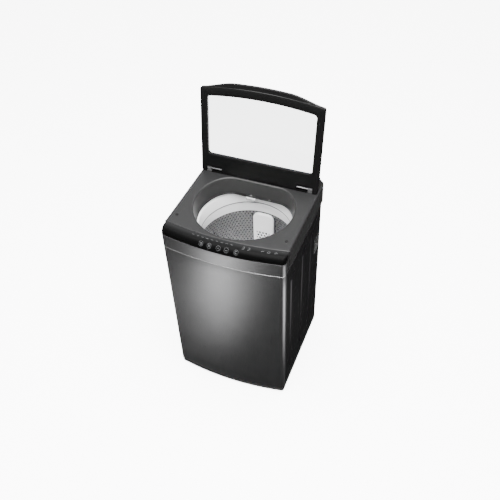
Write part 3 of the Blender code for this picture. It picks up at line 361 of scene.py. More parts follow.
def round_box(x_half, y_half, radius, corner_steps=8):
    """Outline of a rectangle with rounded corners, centred, anticlockwise: four quarter circles."""
    turn = np.linspace(0, math.pi / 2, corner_steps)
    quarter = np.column_stack([np.cos(turn), np.sin(turn)]) * radius
    centre = np.array([x_half - radius, y_half - radius])
    out = []
    for i in range(4):
        c, s = math.cos(i * math.pi / 2), math.sin(i * math.pi / 2)
        spin = np.array([[c, s], [-s, c]])
        flipped = centre if i % 2 == 0 else centre[::-1]
        out.append((quarter + flipped) @ spin)
    return np.vstack(out)


def grip(name, side):
    """Rounded rectangles at falling depth: flange, lip, wall and floor."""
    middle = np.array([(grip_low[i] + grip_high[i]) / 2 for i in (1, 2)])
    wide, tall = [(grip_high[i] - grip_low[i]) / 2 for i in (1, 2)]
    face = grip_high[0]
    floor = grip_low[0] + 0.0012
    rows = [(0.0012, face - 0.0008), (0.0010, face + 0.0006), (-0.0006, face + 0.0010),
            (-0.0022, face + 0.0004),
            (-0.0030, face - 0.002), (-0.0042, floor + 0.004), (-0.0062, floor + 0.0012), (-0.0095, floor)]
    loops = []
    for grow, x in rows:
        outline = round_box(wide + grow, tall + grow, 0.009 + grow * 0.5) + middle
        loops.append(np.column_stack([np.full(len(outline), x * side), outline]))
    loops.append(np.repeat([[floor * side, *middle]], len(loops[0]), axis=0))
    skin(name + "_cup", np.stack(loops), base_black, "cabinet", [name], ring_columns=True,
         wall=0.0011, flip=side < 0)


grip("carry_grip_right", 1)
grip("carry_grip_left", -1)


# Back panel.
# A painted sheet with a raised field, three stiffening beads and a block of louvres, held by screws at its
# edges. The drain stub and the cord's outlet come through it.

panel_low, panel_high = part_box("back_panel")
field_half, field_low, field_high = 0.165, 0.19, 0.70
bead_heights = (0.28, 0.36, 0.44)
louvre_low, louvre_high, louvre_pitch = 0.52, 0.652, 0.022
flank = 0.012


def back_relief(x, z):
    """Height of the pressing: a raised field with soft flanks, beads across it, and louvres as saw
    teeth."""
    field = ease((field_half - np.abs(x)) / flank) * ease((z - field_low) / flank)
    field = field * ease((field_high - z) / flank)
    beads = sum(np.exp(-((z - height) / 0.006) ** 2) for height in bead_heights)
    beads = beads * ease((0.140 - np.abs(x)) / 0.010)
    tooth = np.mod((z - louvre_low) / louvre_pitch, 1.0)
    slots = ease((0.105 - np.abs(x)) / 0.008) * ((z > louvre_low) & (z < louvre_high)) * tooth
    return 0.0045 * field + 0.0025 * beads + 0.0035 * slots


across = np.unique(np.concatenate([np.linspace(panel_low[0], panel_high[0], 60),
                                   np.linspace(-0.17, -0.09, 24), np.linspace(0.09, 0.17, 24)]).round(5))
upward = np.unique(np.concatenate([np.linspace(panel_low[2], panel_high[2], 80),
                                   np.linspace(0.515, 0.655, 90), np.linspace(0.27, 0.45, 50)]).round(5))
grid_x, grid_z = np.meshgrid(across, upward)
back_points = np.stack([grid_x, panel_high[1] + back_relief(grid_x, grid_z), grid_z], axis=-1)
skin("back_panel_sheet", back_points, paint, "cabinet", ["back_panel"], wall=0.0008,
     flip=True)
fitting_grey = moulding("fitting_grey", (0.20, 0.20, 0.205), 0.45)
refinish(fitting_grey, "drain_outlet", "drain_valve", "drain_motor")


# Top frame.
# A satin grey moulding: flat deck, rounded outer edge, skirt down to the seam, and a collar of D shape that
# leads the laundry into the drum. Its front edge stops at the bowed line where the control panel starts.

deck_top = deck_high[2]
seam_z = deck_low[2]
fascia_top = fascia_high[2]
hinge = next(joint for joint in frame["joints"] if joint["name"] == "lid_hinge")
hinge_y, hinge_z = hinge["pos_m"][1:]
line_corner = front_y + 0.0795
line_bow = 0.027
deck_edge = 0.007
opening_half = half - 0.054
opening_front = 0.0115 + line_corner - line_bow
opening_back = hinge_y - 0.017
collar_low = 0.842
collar_in = 0.010
rim = 0.0045
deck_grey = moulding("deck_grey", (0.0092, 0.0092, 0.0094), 0.36, grain=0.0007, depth=0.00004, mottle=0.04,
                     Specular_IOR_Level=0.22)


def paint_light_by_facing(material, skirt_shade, inside):
    """Paints light and shade into a deck material by facing: towards a darker colour where it faces away
    from the middle, on the skirt, as painted shade, and towards a lighter one where it faces the middle, in
    the collar, as painted light. Facing is the dot product of the flat position and the normal."""
    tree = material.node_tree
    shader = tree.nodes["Principled BSDF"]
    place = wire(tree, "ShaderNodeTexCoord").outputs["Object"]
    normal = wire(tree, "ShaderNodeNewGeometry").outputs["Normal"]
    flat = wire(tree, "ShaderNodeVectorMath", [(0, place), (1, (1.0, 1.0, 0.0))], operation="MULTIPLY")
    facing = wire(tree, "ShaderNodeVectorMath", [(0, flat.outputs["Vector"]), (1, normal)],
                  operation="DOT_PRODUCT").outputs["Value"]
    colour = shader.inputs["Base Color"].links[0].from_socket
    for limit, share, tint in ((0.22, 0.8, skirt_shade), (-0.18, 1.0, inside)):
        mask = wire(tree, "ShaderNodeMapRange", [("Value", facing), ("From Min", limit * 0.15),
                                                 ("From Max", limit), ("To Min", 0.0), ("To Max", share)])
        mixed = wire(tree, "ShaderNodeMix", [("Factor", mask.outputs["Result"]), ("A", colour),
                                             ("B", (tint, tint, tint, 1))], data_type="RGBA")
        colour = mixed.outputs["Result"]
    tree.links.new(colour, shader.inputs["Base Color"])


# Painted shade darkens the skirt, and painted light brightens the collar.
paint_light_by_facing(deck_grey, skirt_shade=0.005, inside=0.020)


def panel_line(x):
    """Depth of the line between deck and control panel: a parabola."""
    return line_corner - line_bow * (1 - (x / half) ** 2)


def fill_in(outline, step=0.001):
    """The outline with points every step along its straight runs."""
    ends = np.roll(outline, -1, axis=0)
    length = np.hypot(*(ends - outline).T)
    count = np.maximum((length / step).astype(int), 1)
    which = np.repeat(np.arange(len(outline)), count)
    start = np.repeat(np.cumsum(count) - count, count)
    share = (np.arange(count.sum()) - start) / count[which]
    return outline[which] + (ends - outline)[which] * share[:, None]


def reach(outline, angles, centre=(0.0, 0.0)):
    """Distance from the centre to a closed outline in each direction."""
    x, y = (fill_in(outline) - centre).T
    around = np.arctan2(y, x)
    order = np.argsort(around)
    return np.interp(angles, around[order], np.hypot(x, y)[order], period=2 * math.pi)


def opening(shrink):
    """D shape: half an ellipse in front, a quarter ellipse at each back corner, and a straight back."""
    front = np.linspace(math.pi, 2 * math.pi, 90)
    ends = np.linspace(0, math.pi / 2, 40)
    side = opening_half - shrink
    flat = opening_half - 0.121
    bottom = np.column_stack([side * np.cos(front), (opening_front + shrink) * -np.sin(front)])
    corner = np.column_stack([flat + (side - flat) * np.cos(ends), (opening_back - shrink) * np.sin(ends)])
    return np.vstack([bottom[:-1], corner, corner[::-1] * (-1, 1)])


def deck_plan(side, front):
    """The deck's outline moved in by `side` at its sides and back and by `front` along the panel line."""
    x = np.linspace(-(half - side), half - side, 160)
    turn = np.linspace(0, math.pi / 2, 16)
    corner = np.column_stack([half - back_corner + (back_corner - side) * np.cos(turn),
                              back_y - back_corner + (back_corner - side) * np.sin(turn)])
    return np.vstack([np.column_stack([x, panel_line(x) + front]), corner, corner[::-1] * (-1, 1)])


corner_angle = math.atan2(line_corner, half)
around = np.concatenate([np.linspace(-math.pi - corner_angle, corner_angle, 200),
                         np.linspace(corner_angle, math.pi - corner_angle, 420)])
at_front = np.arange(len(around)) < 200
turn = np.linspace(0, math.pi / 2, 7)
deck_rows = [(reach(opening(collar_in * (1 - t)), around), collar_low + (deck_top - rim - collar_low) * t)
             for t in np.linspace(0, 1, 6)]
deck_rows += [(reach(opening(-rim * (1 - math.cos(a))), around), deck_top - rim + rim * math.sin(a))
              for a in turn[1:]]
inner_edge = deck_rows[-1][0]
outer_edge = reach(deck_plan(deck_edge, 0.0012), around)
deck_rows += [(inner_edge + (outer_edge - inner_edge) * t, deck_top) for t in (0.06, 0.35, 0.7)]
for a in turn:
    side_in, front_in = deck_edge * (1 - math.sin(a)), 0.0012 * (1 - math.sin(a))
    drop = np.where(at_front, 0.0012 * (1 - math.cos(a)), deck_edge * (1 - math.cos(a)))
    deck_rows.append((reach(deck_plan(side_in, front_in), around), deck_top - drop))
deck_rim = deck_rows[-1][0]
deck_rows += [(deck_rim, np.where(at_front, fascia_top + 0.002, z))
              for z in np.linspace(deck_top - 0.02, seam_z, 5)]
deck_points = np.stack([np.column_stack([r * np.cos(around), r * np.sin(around),
                                         np.broadcast_to(z, r.shape)])
                        for r, z in deck_rows])
skin("top_deck_shell", deck_points, deck_grey, "cabinet", ["top_deck"], ring_columns=True,
     wall=0.0022)


def cheek(name, side):
    """The piece of skirt beside the fascia: a flat plate with softened edges."""
    y_half = (line_corner - wrap_y) / 2 - 0.0002
    z_half = (fascia_top - seam_z) / 2
    loops = []
    for shrink, x in ((0.0, half - 0.003), (0.0, half - 0.0006), (0.0003, half - 0.0001), (0.0008, half)):
        outline = round_box(y_half - shrink, z_half - shrink, 0.0012, 4)
        loops.append(np.column_stack([np.full(len(outline), x * side),
                                      outline[:, 0] + (line_corner + wrap_y) / 2,
                                      outline[:, 1] + (fascia_top + seam_z) / 2]))
    skin(name, np.stack(loops), deck_grey, "cabinet", ring_columns=True, caps=True)


cheek("deck_cheek_right", 1)
cheek("deck_cheek_left", -1)


# Water nozzles.
# Two small moulded nozzles stand out of the collar's back wall near its lower edge, with a light rim.

nozzle_light = moulding("nozzle_light", (0.12, 0.12, 0.12), 0.35)


def nozzle(name, x, radius, z=0.850):
    """A short dished ring facing forwards: a closed section carried round a circle."""
    turn = np.linspace(0, 2 * math.pi, 28, endpoint=False)
    wall_y = opening_back - collar_in * (deck_top - z) / (deck_top - collar_low)
    rows = [(radius, 0.001), (radius, -0.0022), (radius * 0.88, -0.0030), (radius * 0.72, -0.0022),
            (radius * 0.66, -0.0004), (radius * 0.60, 0.001)]
    points = np.stack([np.column_stack([x + r * np.cos(turn), np.full(28, wall_y + d),
                                        z + r * 0.8 * np.sin(turn)])
                       for r, d in rows])
    skin(name, points, nozzle_light, "cabinet", ring_rows=True, ring_columns=True)


nozzle("water_nozzle_left", -0.030, 0.0062)
nozzle("water_nozzle_right", 0.060, 0.0045)


# Control panel.
# A gloss black moulding that rolls over the front edge from the deck to the fascia, thin walled.
# Its marks are printed under the gloss: round touch icons, a small number display and a row of lamps.

panel_box_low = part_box("control_panel")[0]
nose_radius = 0.027
flat_share = 0.42
panel_length = 0.066
print_lift = 0.00012
gloss_black = moulding("panel_gloss", (0.004, 0.004, 0.004), 0.42, grain=0.002, depth=0.00001,
                       Specular_IOR_Level=0.03)
panel_shader = gloss_black.node_tree.nodes["Principled BSDF"]
# Painted sheen: the base colour is lighter at the deck line and fades to near black down the nose, standing
# in for the gloss's reflection.
panel_measure = wire(gloss_black.node_tree, "ShaderNodeUVMap", uv_map="metres").outputs["UV"]
panel_down = wire(gloss_black.node_tree, "ShaderNodeSeparateXYZ", [("Vector", panel_measure)]).outputs["Y"]
painted_sheen_fade = wire(gloss_black.node_tree, "ShaderNodeMapRange",
                  [("Value", panel_down), ("From Min", 0.0), ("From Max", 0.66), ("To Min", 1.0),
                   ("To Max", 0.0)],
                  interpolation_type="SMOOTHSTEP")
painted_sheen_tint = wire(gloss_black.node_tree, "ShaderNodeMix",
                  [("Factor", painted_sheen_fade.outputs["Result"]), ("A", (0.0006, 0.0006, 0.0006, 1)),
                   ("B", (0.0105, 0.0105, 0.0107, 1))], data_type="RGBA")
gloss_black.node_tree.links.new(painted_sheen_tint.outputs["Result"], panel_shader.inputs["Base Color"])


def nose(x, share):
    """Point and outward normal of the panel at x and share of the way from the deck line to the fascia:
    flat as far as the nose, then a quarter turn."""
    shoulder = np.maximum(np.abs(x) - (half - deck_edge), 0)
    top = deck_top - deck_edge + np.sqrt(np.maximum(deck_edge ** 2 - shoulder ** 2, 0))
    bottom = panel_box_low[2]
    back = panel_line(x) - 0.0003
    into_corner = np.clip(np.abs(x) - (half - front_corner), 0, front_corner)
    front = bow_line(np.minimum(np.abs(x), half - front_corner)) + front_corner - np.sqrt(
        front_corner ** 2 - into_corner ** 2)
    radius = np.minimum(nose_radius, back - front - 0.002)
    bend = np.clip((share - flat_share) / (1 - flat_share), 0, 1) * math.pi / 2
    flat = np.clip(share / flat_share, 0, 1)
    y = np.where(share < flat_share, back + (front + radius - back) * flat,
                 front + radius - radius * np.sin(bend))
    z = bottom + (top - bottom) * np.cos(bend)
    return np.stack([np.broadcast_to(x, y.shape), y, z], axis=-1), np.stack(
        [np.zeros_like(y), -np.sin(bend), np.cos(bend)], axis=-1)


swing = np.linspace(-1, 1, 160)
panel_x = np.sign(swing) * half * np.sin(np.abs(swing) * math.pi / 2) ** 0.8
panel_share = np.concatenate([np.linspace(0, flat_share, 8)[:-1], np.linspace(flat_share, 1, 26)])
grid_share, grid_across = np.meshgrid(panel_share, panel_x, indexing="ij")
panel_points = nose(grid_across, grid_share)[0]
skirt = panel_points[:, [0, -1]].copy()
skirt[..., 2] = panel_box_low[2]
panel_points = np.concatenate([skirt[:, :1], panel_points, skirt[:, 1:]], axis=1)
panel_metres = np.stack(np.broadcast_arrays(panel_points[..., 0], panel_share[:, None]), axis=-1)
skin("control_panel_shell", panel_points, gloss_black, "cabinet", ["control_panel"],
     wall=0.0018, flip=True, sharp=55, uv=panel_metres)

printed_white = moulding("printed_white", (0.060, 0.061, 0.063), 0.5, mottle=0.02)


def stroke(centre_x, centre_share, path, wide):
    """A printed line: a path of (x, down) in metres about a place on the panel, `wide` across, laid on its
    surface."""
    step = np.gradient(path, axis=0)
    sideways = np.column_stack([-step[:, 1], step[:, 0]]) / np.hypot(*step.T)[:, None] * wide / 2
    edges = np.stack([path + sideways, path - sideways])
    surface, normal = nose(centre_x + edges[..., 0], centre_share + edges[..., 1] / panel_length)
    return surface + normal * print_lift


def ring_path(radius, start=0.0, end=2 * math.pi, steps=25):
    """Points round an arc."""
    turn = np.linspace(start, end, steps)
    return np.column_stack([radius * np.cos(turn), radius * np.sin(turn)])


def bar_path(x0, y0, x1, y1):
    """Points along a short straight line."""
    return np.column_stack([np.linspace(x0, x1, 6), np.linspace(y0, y1, 6)])


marks = []
for place, pattern in zip((-0.080, -0.043, -0.003, 0.032, 0.074), ("drop", "bars", "dot", "wave", "arc")):
    marks.append(stroke(place, 0.70, ring_path(0.0090), 0.0007))
    if pattern == "drop":
        marks.append(stroke(place, 0.70, ring_path(0.0035), 0.0012))
    if pattern == "bars":
        marks += [stroke(place, 0.70, bar_path(x, -0.004, x, 0.004), 0.0012) for x in (-0.003, 0.0, 0.003)]
    if pattern == "dot":
        marks += [stroke(place, 0.70, bar_path(-0.002, d, 0.002, d), 0.0012) for d in (-0.001, 0.0012)]
    if pattern == "wave":
        marks += [stroke(place, 0.70, ring_path(0.0022, 0, math.pi, 8) + (x, 0), 0.0011)
                  for x in (-0.0022, 0.0022)]
    if pattern == "arc":
        marks.append(stroke(place, 0.70, ring_path(0.0042, 0.7, 5.4, 16), 0.0012))
for digit_x in (0.096, 0.118):
    for x0, y0, x1, y1 in ((-0.003, -0.007, 0.003, -0.007), (-0.003, 0, 0.003, 0),
                           (-0.003, 0.007, 0.003, 0.007),
                           (0.004, -0.006, 0.004, -0.001), (0.004, 0.001, 0.004, 0.006)):
        marks.append(stroke(digit_x, 0.33, bar_path(x0, y0, x1, y1), 0.0016))
for lamp_x in np.linspace(-0.128, 0.045, 9):
    marks.append(stroke(lamp_x, 0.27, bar_path(-0.005, 0, 0.005, 0), 0.0013))
marks.append(stroke(0.175, 0.33, bar_path(-0.006, 0.001, 0.006, -0.001), 0.0022))
marks.append(stroke(0.200, 0.33, ring_path(0.0048), 0.0014))
marks += [stroke(0.229, 0.33, ring_path(0.0045, 2.2, 7.2, 18), 0.0015),
          stroke(0.229, 0.33, bar_path(0, -0.006, 0, -0.001), 0.0014)]
for number, mark in enumerate(marks):
    skin(f"panel_mark_{number:02d}", mark, printed_white, "cabinet", wall=0.00008,
         flip=True)
board = moulding("board_green", (0.02, 0.12, 0.05), 0.4)
refinish(board, "control_board")


# Rear cover.
# The raised grey cover behind the lid hides the water valve. Its sides lean in and its top edges are round.

cover_low, cover_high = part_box("rear_deck_cover")


def cover_loop(inset, z):
    """A rectangle with large back corners and small front corners, moved in by inset, at height z."""
    side = half - 0.004 - inset
    turn = np.linspace(0, math.pi / 2, 10)
    quarter = np.column_stack([np.cos(turn), np.sin(turn)])
    back_radius = back_corner - 0.004 - inset * 0.5
    back = quarter * back_radius + (side - back_radius, cover_high[1] - inset - back_radius)
    front_radius = 0.003
    front = quarter[::-1] * (1, -1) * front_radius
    front = front + (side - front_radius, cover_low[1] + inset * 0.3 + front_radius)
    right = np.vstack([front, back])
    outline = np.vstack([right, right[::-1] * (-1, 1)])
    return np.column_stack([outline, np.full(len(outline), z)])


rise = cover_high[2] - cover_low[2]
cover_rows = [(0.001, 0.0), (0.0, 0.0008), (0.0, 0.004), (0.0015, 0.008), (0.006, 0.0145),
              (0.0095, rise - 0.003), (0.0115, rise - 0.0012), (0.0145, rise - 0.0002), (0.020, rise)]
cover_points = np.stack([cover_loop(inset, cover_low[2] + up) for inset, up in cover_rows])
skin("rear_cover_shell", cover_points, deck_grey, "cabinet", ["rear_deck_cover"],
     ring_columns=True, caps=True, sharp=30)


# Hinge posts and pins.
# Grey moulded ears on the deck carry steel pins; the thick part of each pin is the soft-close damper.

post_grey = moulding("post_grey", (0.045, 0.045, 0.046), 0.4)
pin_steel = brushed("pin_steel", (0.24, 0.24, 0.245), 0.34, along=0)
refinish(post_grey, "hinge_post_left", "hinge_post_right")
buffer_grey = moulding("buffer_grey", (0.007, 0.007, 0.007), 0.7, Specular_IOR_Level=0.1)
refinish(buffer_grey, "lid_buffer_left", "lid_buffer_right")
refinish(pin_steel, "hinge_pin_left", "hinge_pin_right")


# Lid frame.
# A black moulding round a large pane. Its front edge is bowed and carries a thinner pull lip in the middle;
# its inner face has a crease where the lip starts, and the reveal of the window is deep. It stands open,
# leaning on its stop.

lid_open = math.radians(hinge["range_deg"][1])
lid_thick = 0.018
lid_rear = 0.016
lid_bow = 0.022
lip_start = 0.120
lip_reach = 0.018
window_side = 0.033
window_far = 0.038
window_near = 0.093
window_bow = 0.018
glass_near = 0.029
lid_long = lid_rear + hinge_y - (line_corner - line_bow) - 0.001
face_low, face_high = -0.010, lid_thick - 0.010
lid_black = moulding("lid_black", (0.0012, 0.0012, 0.0012), 0.36, grain=0.0009, depth=0.00002, mottle=0.03,
                     Specular_IOR_Level=0.2)


def lid_edge(x, lip):
    """Distance of the front edge from the rear edge: a parabola, and the lip's smooth swell."""
    swell = 1 - ease((np.abs(x) - lip_start) / (half - 0.005 - lip_start))
    return lid_long - lid_bow * (x / half) ** 2 + lip_reach * swell * lip


def lid_outline(inset, lip=1, rear=0.0, corner=0.010):
    """The lid in plan about its hinge axis: front edge, two front corners, two rear corners."""
    side = half - 0.0005 - inset
    radius = max(corner - inset, 0.002)
    x = np.linspace(-side + radius, side - radius, 140)
    front = np.column_stack([x, lid_rear - lid_edge(x, lip) + inset])
    turn = np.linspace(-math.pi / 2, 0, 9)[1:]
    low = np.column_stack([side - radius + radius * np.cos(turn),
                           front[-1, 1] + radius + radius * np.sin(turn)])
    high = np.column_stack([side - radius + radius * np.cos(turn + math.pi / 2),
                            lid_rear - rear - inset - radius + radius * np.sin(turn + math.pi / 2)])
    right = np.vstack([low, high])
    return np.vstack([front, right, right[::-1] * (-1, 1)])


def window(grow):
    """The pane's opening in the frame: bowed front edge and rounded corners."""
    side = half - window_side + grow
    radius = 0.015 + grow
    x = np.linspace(-side + radius, side - radius, 120)
    far = lid_rear - (lid_long - window_far) - grow + window_bow * (x / (half - window_side)) ** 2
    front = np.column_stack([x, far])
    turn = np.linspace(-math.pi / 2, 0, 9)[1:]
    low = np.column_stack([side - radius + radius * np.cos(turn), far[-1] + radius + radius * np.sin(turn)])
    high = np.column_stack([side - radius + radius * np.cos(turn + math.pi / 2),
                            lid_rear - window_near + grow - radius + radius * np.sin(turn + math.pi / 2)])
    right = np.vstack([low, high])
    return np.vstack([front, right, right[::-1] * (-1, 1)])


def opened(points):
    """Points of the closed lid about its axis, turned open and set on the hinge."""
    x, y, z = np.moveaxis(points, -1, 0)
    c, s = math.cos(-lid_open), math.sin(-lid_open)
    return np.stack([x, hinge_y + y * c - z * s, hinge_z + y * s + z * c], axis=-1)


lid_centre = (0.0, lid_rear - 0.232)
lid_turn = np.linspace(-math.pi, math.pi, 721)[:-1]
bowed = reach(lid_outline(0.0, lip=0), lid_turn, lid_centre)
step_back = face_high - 0.012


def lid_row(radius, z):
    """A row of the frame's section: radius from the window's middle in each direction, height z."""
    return np.column_stack([lid_centre[0] + radius * np.cos(lid_turn),
                            lid_centre[1] + radius * np.sin(lid_turn), np.broadcast_to(z, radius.shape)])


def outer(inset):
    """The frame's outer edge moved in."""
    return reach(lid_outline(inset), lid_turn, lid_centre)


def pane(inset):
    """The edge of the pane's seat moved in."""
    outline = lid_outline(0.004 + inset, lip=0)
    outline[:, 1] = np.minimum(outline[:, 1], lid_rear - glass_near)
    return reach(outline, lid_turn, lid_centre)


def sill(grow):
    """The window's edge moved out."""
    return reach(window(grow), lid_turn, lid_centre)


seat_z = face_high - 0.0043
lid_rows = [lid_row(sill(0.0), seat_z), lid_row(sill(0.0), face_low + 0.0020),
            lid_row(sill(0.0005), face_low + 0.0007),
            lid_row(sill(0.0018), face_low), lid_row(sill(0.010), face_low)]
lid_rows += [lid_row(bowed - 0.004, face_low), lid_row(bowed - 0.0015, face_low + 0.0004),
             lid_row(bowed - 0.0004, face_low + 0.0018), lid_row(bowed - 0.0002, step_back - 0.0012)]
lid_rows += [lid_row(np.maximum(outer(inset), bowed), z) for inset, z in (
    (0.006, step_back), (0.003, step_back), (0.0012, step_back + 0.0006), (0.0002, step_back + 0.002),
    (0.0, step_back + 0.004), (0.0, face_high - 0.003), (0.0006, face_high - 0.0012))]
lid_rows += [lid_row(np.maximum(outer(0.0022), pane(-0.0005)), face_high - 0.0002),
             lid_row(pane(-0.0004), face_high - 0.0001), lid_row(pane(-0.0002), seat_z)]
lid_points = np.stack(lid_rows)
lid_frame = skin("lid_frame_moulding", opened(lid_points), lid_black, "lid", ["lid_frame"],
                 ring_rows=True, ring_columns=True, sharp=32)


def carve(piece, low, high):
    """Cuts a block, given in the closed lid's own measures, out of the opened frame."""
    x, y, z = [np.array([low[i], high[i]]) for i in range(3)]
    corners = np.array([[i, j, k] for k in z for i, j in ((x[0], y[0]), (x[1], y[0]), (x[1], y[1]),
                                                          (x[0], y[1]))])
    mesh = bpy.data.meshes.new("carver")
    mesh.from_pydata(opened(corners).tolist(), [], [(3, 2, 1, 0), (4, 5, 6, 7), (0, 1, 5, 4), (1, 2, 6, 5),
                                                    (2, 3, 7, 6), (3, 0, 4, 7)])
    carver = bpy.data.objects.new("carver", mesh)
    bpy.context.scene.collection.objects.link(carver)
    cut = piece.modifiers.new("carve", "BOOLEAN")
    cut.operation = "DIFFERENCE"
    cut.solver = "EXACT"
    cut.object = carver
    cleaned = bpy.data.meshes.new_from_object(piece.evaluated_get(bpy.context.evaluated_depsgraph_get()))
    piece.modifiers.clear()
    piece.data = cleaned
    bpy.data.objects.remove(carver)


post_low, post_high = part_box("hinge_post_right")
for side in (-1, 1):
    inner, outward = post_low[0] - 0.002, post_high[0] + 0.002
    first, last = sorted((side * inner, side * outward))
    carve(lid_frame, (first, -0.013, face_low - 0.01), (last, 0.030, face_high + 0.01))
    first, last = sorted((side * (inner - 0.050), side * (inner + 0.0005)))
    carve(lid_frame, (first, -0.011, face_low - 0.01), (last, 0.010, 0.0055))


# Lid pane.
# Clear toughened glass let into the frame's outer face and bonded round its edge.

lid_glass = bpy.data.materials.new("lid_glass")
lid_glass.use_nodes = True
glass_shader = lid_glass.node_tree.nodes["Principled BSDF"]
for key, value in (("Base Color", (0.50, 0.505, 0.505, 1)), ("IOR", 1.45),
                   ("Transmission Weight", 1.0), ("Specular IOR Level", 0.5)):
    glass_shader.inputs[key].default_value = value
smear = wire(lid_glass.node_tree, "ShaderNodeTexNoise",
             [("Vector", wire(lid_glass.node_tree, "ShaderNodeTexCoord").outputs["Object"]),
              ("Scale", 14.0)])
haze = wire(lid_glass.node_tree, "ShaderNodeMapRange", [("Value", smear.outputs["Fac"]), ("To Min", 0.0),
                                                        ("To Max", 0.04)])
lid_glass.node_tree.links.new(haze.outputs["Result"], glass_shader.inputs["Roughness"])
refinish(lid_glass, "lid_glass")


# Tub, hangers and drive.
# The moulded tub hangs on four sprung rods from gussets on the side sheets. Under it are the steel plate,
# the cast gearbox with its pulley, the motor, the belt and the drain valve.

tub_plastic = moulding("tub_plastic", (0.62, 0.62, 0.60), 0.5)
plated = brushed("plated_steel", (0.42, 0.42, 0.43), 0.38, along=2)
cast = moulding("cast_alloy", (0.40, 0.40, 0.41), 0.5, grain=0.0012, depth=0.0001, Metallic=1.0)
refinish(tub_plastic, "outer_tub", "pressure_sensor", "inlet_valve")
refinish(plated, "tub_support_plate", "spin_shaft", "pulsator_shaft", "motor_shaft", "drain_pull_rod",
         *[f"suspension_{kind}_{where}" for kind in ("rod", "spring")
           for where in ("front_left", "front_right", "rear_left", "rear_right")])
refinish(cast, "gearbox_housing", "motor_body", "drive_pulley", "motor_pulley")


# Tub cover ring.
# A white moulded ring clipped on the tub's rim; its throat leans in and stops just above the balance ring.

ring_low, ring_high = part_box("tub_cover_ring")
tub_y = (ring_low[1] + ring_high[1]) / 2
ring_outside = (ring_high[0] - ring_low[0]) / 2
throat = ring_outside - 0.0028 - 0.031
gloss_white = moulding("gloss_white", (0.86, 0.86, 0.86), 0.22, grain=0.003, depth=0.00002, mottle=0.015)
# Painted shade: the spout's white is dulled to grey so that it reads as lying in shadow under the collar.
spout_painted_shade = moulding("spout_painted_shade", (0.33, 0.33, 0.33), 0.4)
refinish(spout_painted_shade, "inlet_spout")


def turned(name, profile, material, body, nodes, steps=240, sharp=30):
    """A closed profile of (radius, height) carried round the tub's axis."""
    turn = np.linspace(0, 2 * math.pi, steps, endpoint=False)
    radius, height = np.array(profile, dtype=float).T
    points = np.stack([radius[:, None] * np.cos(turn), tub_y + radius[:, None] * np.sin(turn),
                       np.broadcast_to(height[:, None], (len(height), steps))], axis=-1)
    return skin(name, points, material, body, nodes, ring_rows=True, ring_columns=True, sharp=sharp)


turned("tub_cover_moulding",
       [(ring_outside, ring_high[2] - 0.003), (ring_outside, ring_low[2] + 0.030),
        (ring_outside - 0.0024, 0.789),
        (ring_outside - 0.0024, ring_high[2] - 0.004), (throat + 0.010, ring_high[2] - 0.0045),
        (throat + 0.0045, ring_high[2] - 0.012), (throat + 0.0022, ring_low[2] + 0.001),
        (throat + 0.0018, ring_low[2]),
        (throat + 0.0006, ring_low[2]), (throat, ring_low[2] + 0.001), (throat, ring_high[2] - 0.020),
        (throat + 0.001, ring_high[2] - 0.010), (throat + 0.004, ring_high[2] - 0.003),
        (throat + 0.009, ring_high[2] - 0.0004), (throat + 0.014, ring_high[2]),
        (ring_outside - 0.002, ring_high[2])],
       gloss_white, "tub", ["tub_cover_ring"])


# Shade line under the cover ring.
# A thin dark ring on the throat's lower edge is painted shade: it stands for the shadow in the gap between
# the two rings.

gap_shade_grey = moulding("gap_shade_grey", (0.05, 0.05, 0.05), 0.6)
turned("tub_cover_gap_shade",
       [(throat - 0.0002, ring_low[2] + 0.0022), (throat - 0.0008, ring_low[2] + 0.0012),
        (throat - 0.0008, ring_low[2] - 0.0016), (throat - 0.0002, ring_low[2] - 0.0024),
        (throat + 0.0004, ring_low[2] - 0.0016), (throat + 0.0002, ring_low[2])],
       gap_shade_grey, "tub", [])


# Balance ring.
# A white hollow ring welded shut and part filled with brine, pressed on the drum's rim, its throat flaring
# downwards.

balance_low, balance_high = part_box("balance_ring")
balance_outside = (balance_high[0] - balance_low[0]) / 2
balance_throat = balance_outside - 0.0183
base_z, top_z = balance_low[2], balance_high[2]
turned("balance_ring_moulding",
       [(balance_outside - 0.0012, top_z - 0.002), (balance_outside, top_z - 0.005),
        (balance_outside, base_z + 0.001),
        (balance_outside - 0.001, base_z), (balance_throat + 0.0080, base_z),
        (balance_throat + 0.0068, base_z + 0.001),
        (balance_throat + 0.0052, base_z + 0.010), (balance_throat + 0.0030, base_z + 0.024),
        (balance_throat + 0.0010, base_z + 0.038), (balance_throat, top_z - 0.011),
        (balance_throat, top_z - 0.004),
        (balance_throat + 0.0006, top_z - 0.0014), (balance_throat + 0.0024, top_z),
        (balance_outside - 0.004, top_z)],
       gloss_white, "drum", ["balance_ring"])


# Drum wall.
# Stainless sheet rolled to a drum, embossed all over with rows of soft dimples, each with a drain hole
# beside it.

drum_low, drum_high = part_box("drum_wall")
drum_outside = (drum_high[0] - drum_low[0]) / 2
dimple_pitch = (0.0165, 0.0150)
stainless = moulding("stainless_drum", (0.24, 0.24, 0.245), 0.28, grain=0.0015, depth=0.00003,
                     Metallic=0.85)


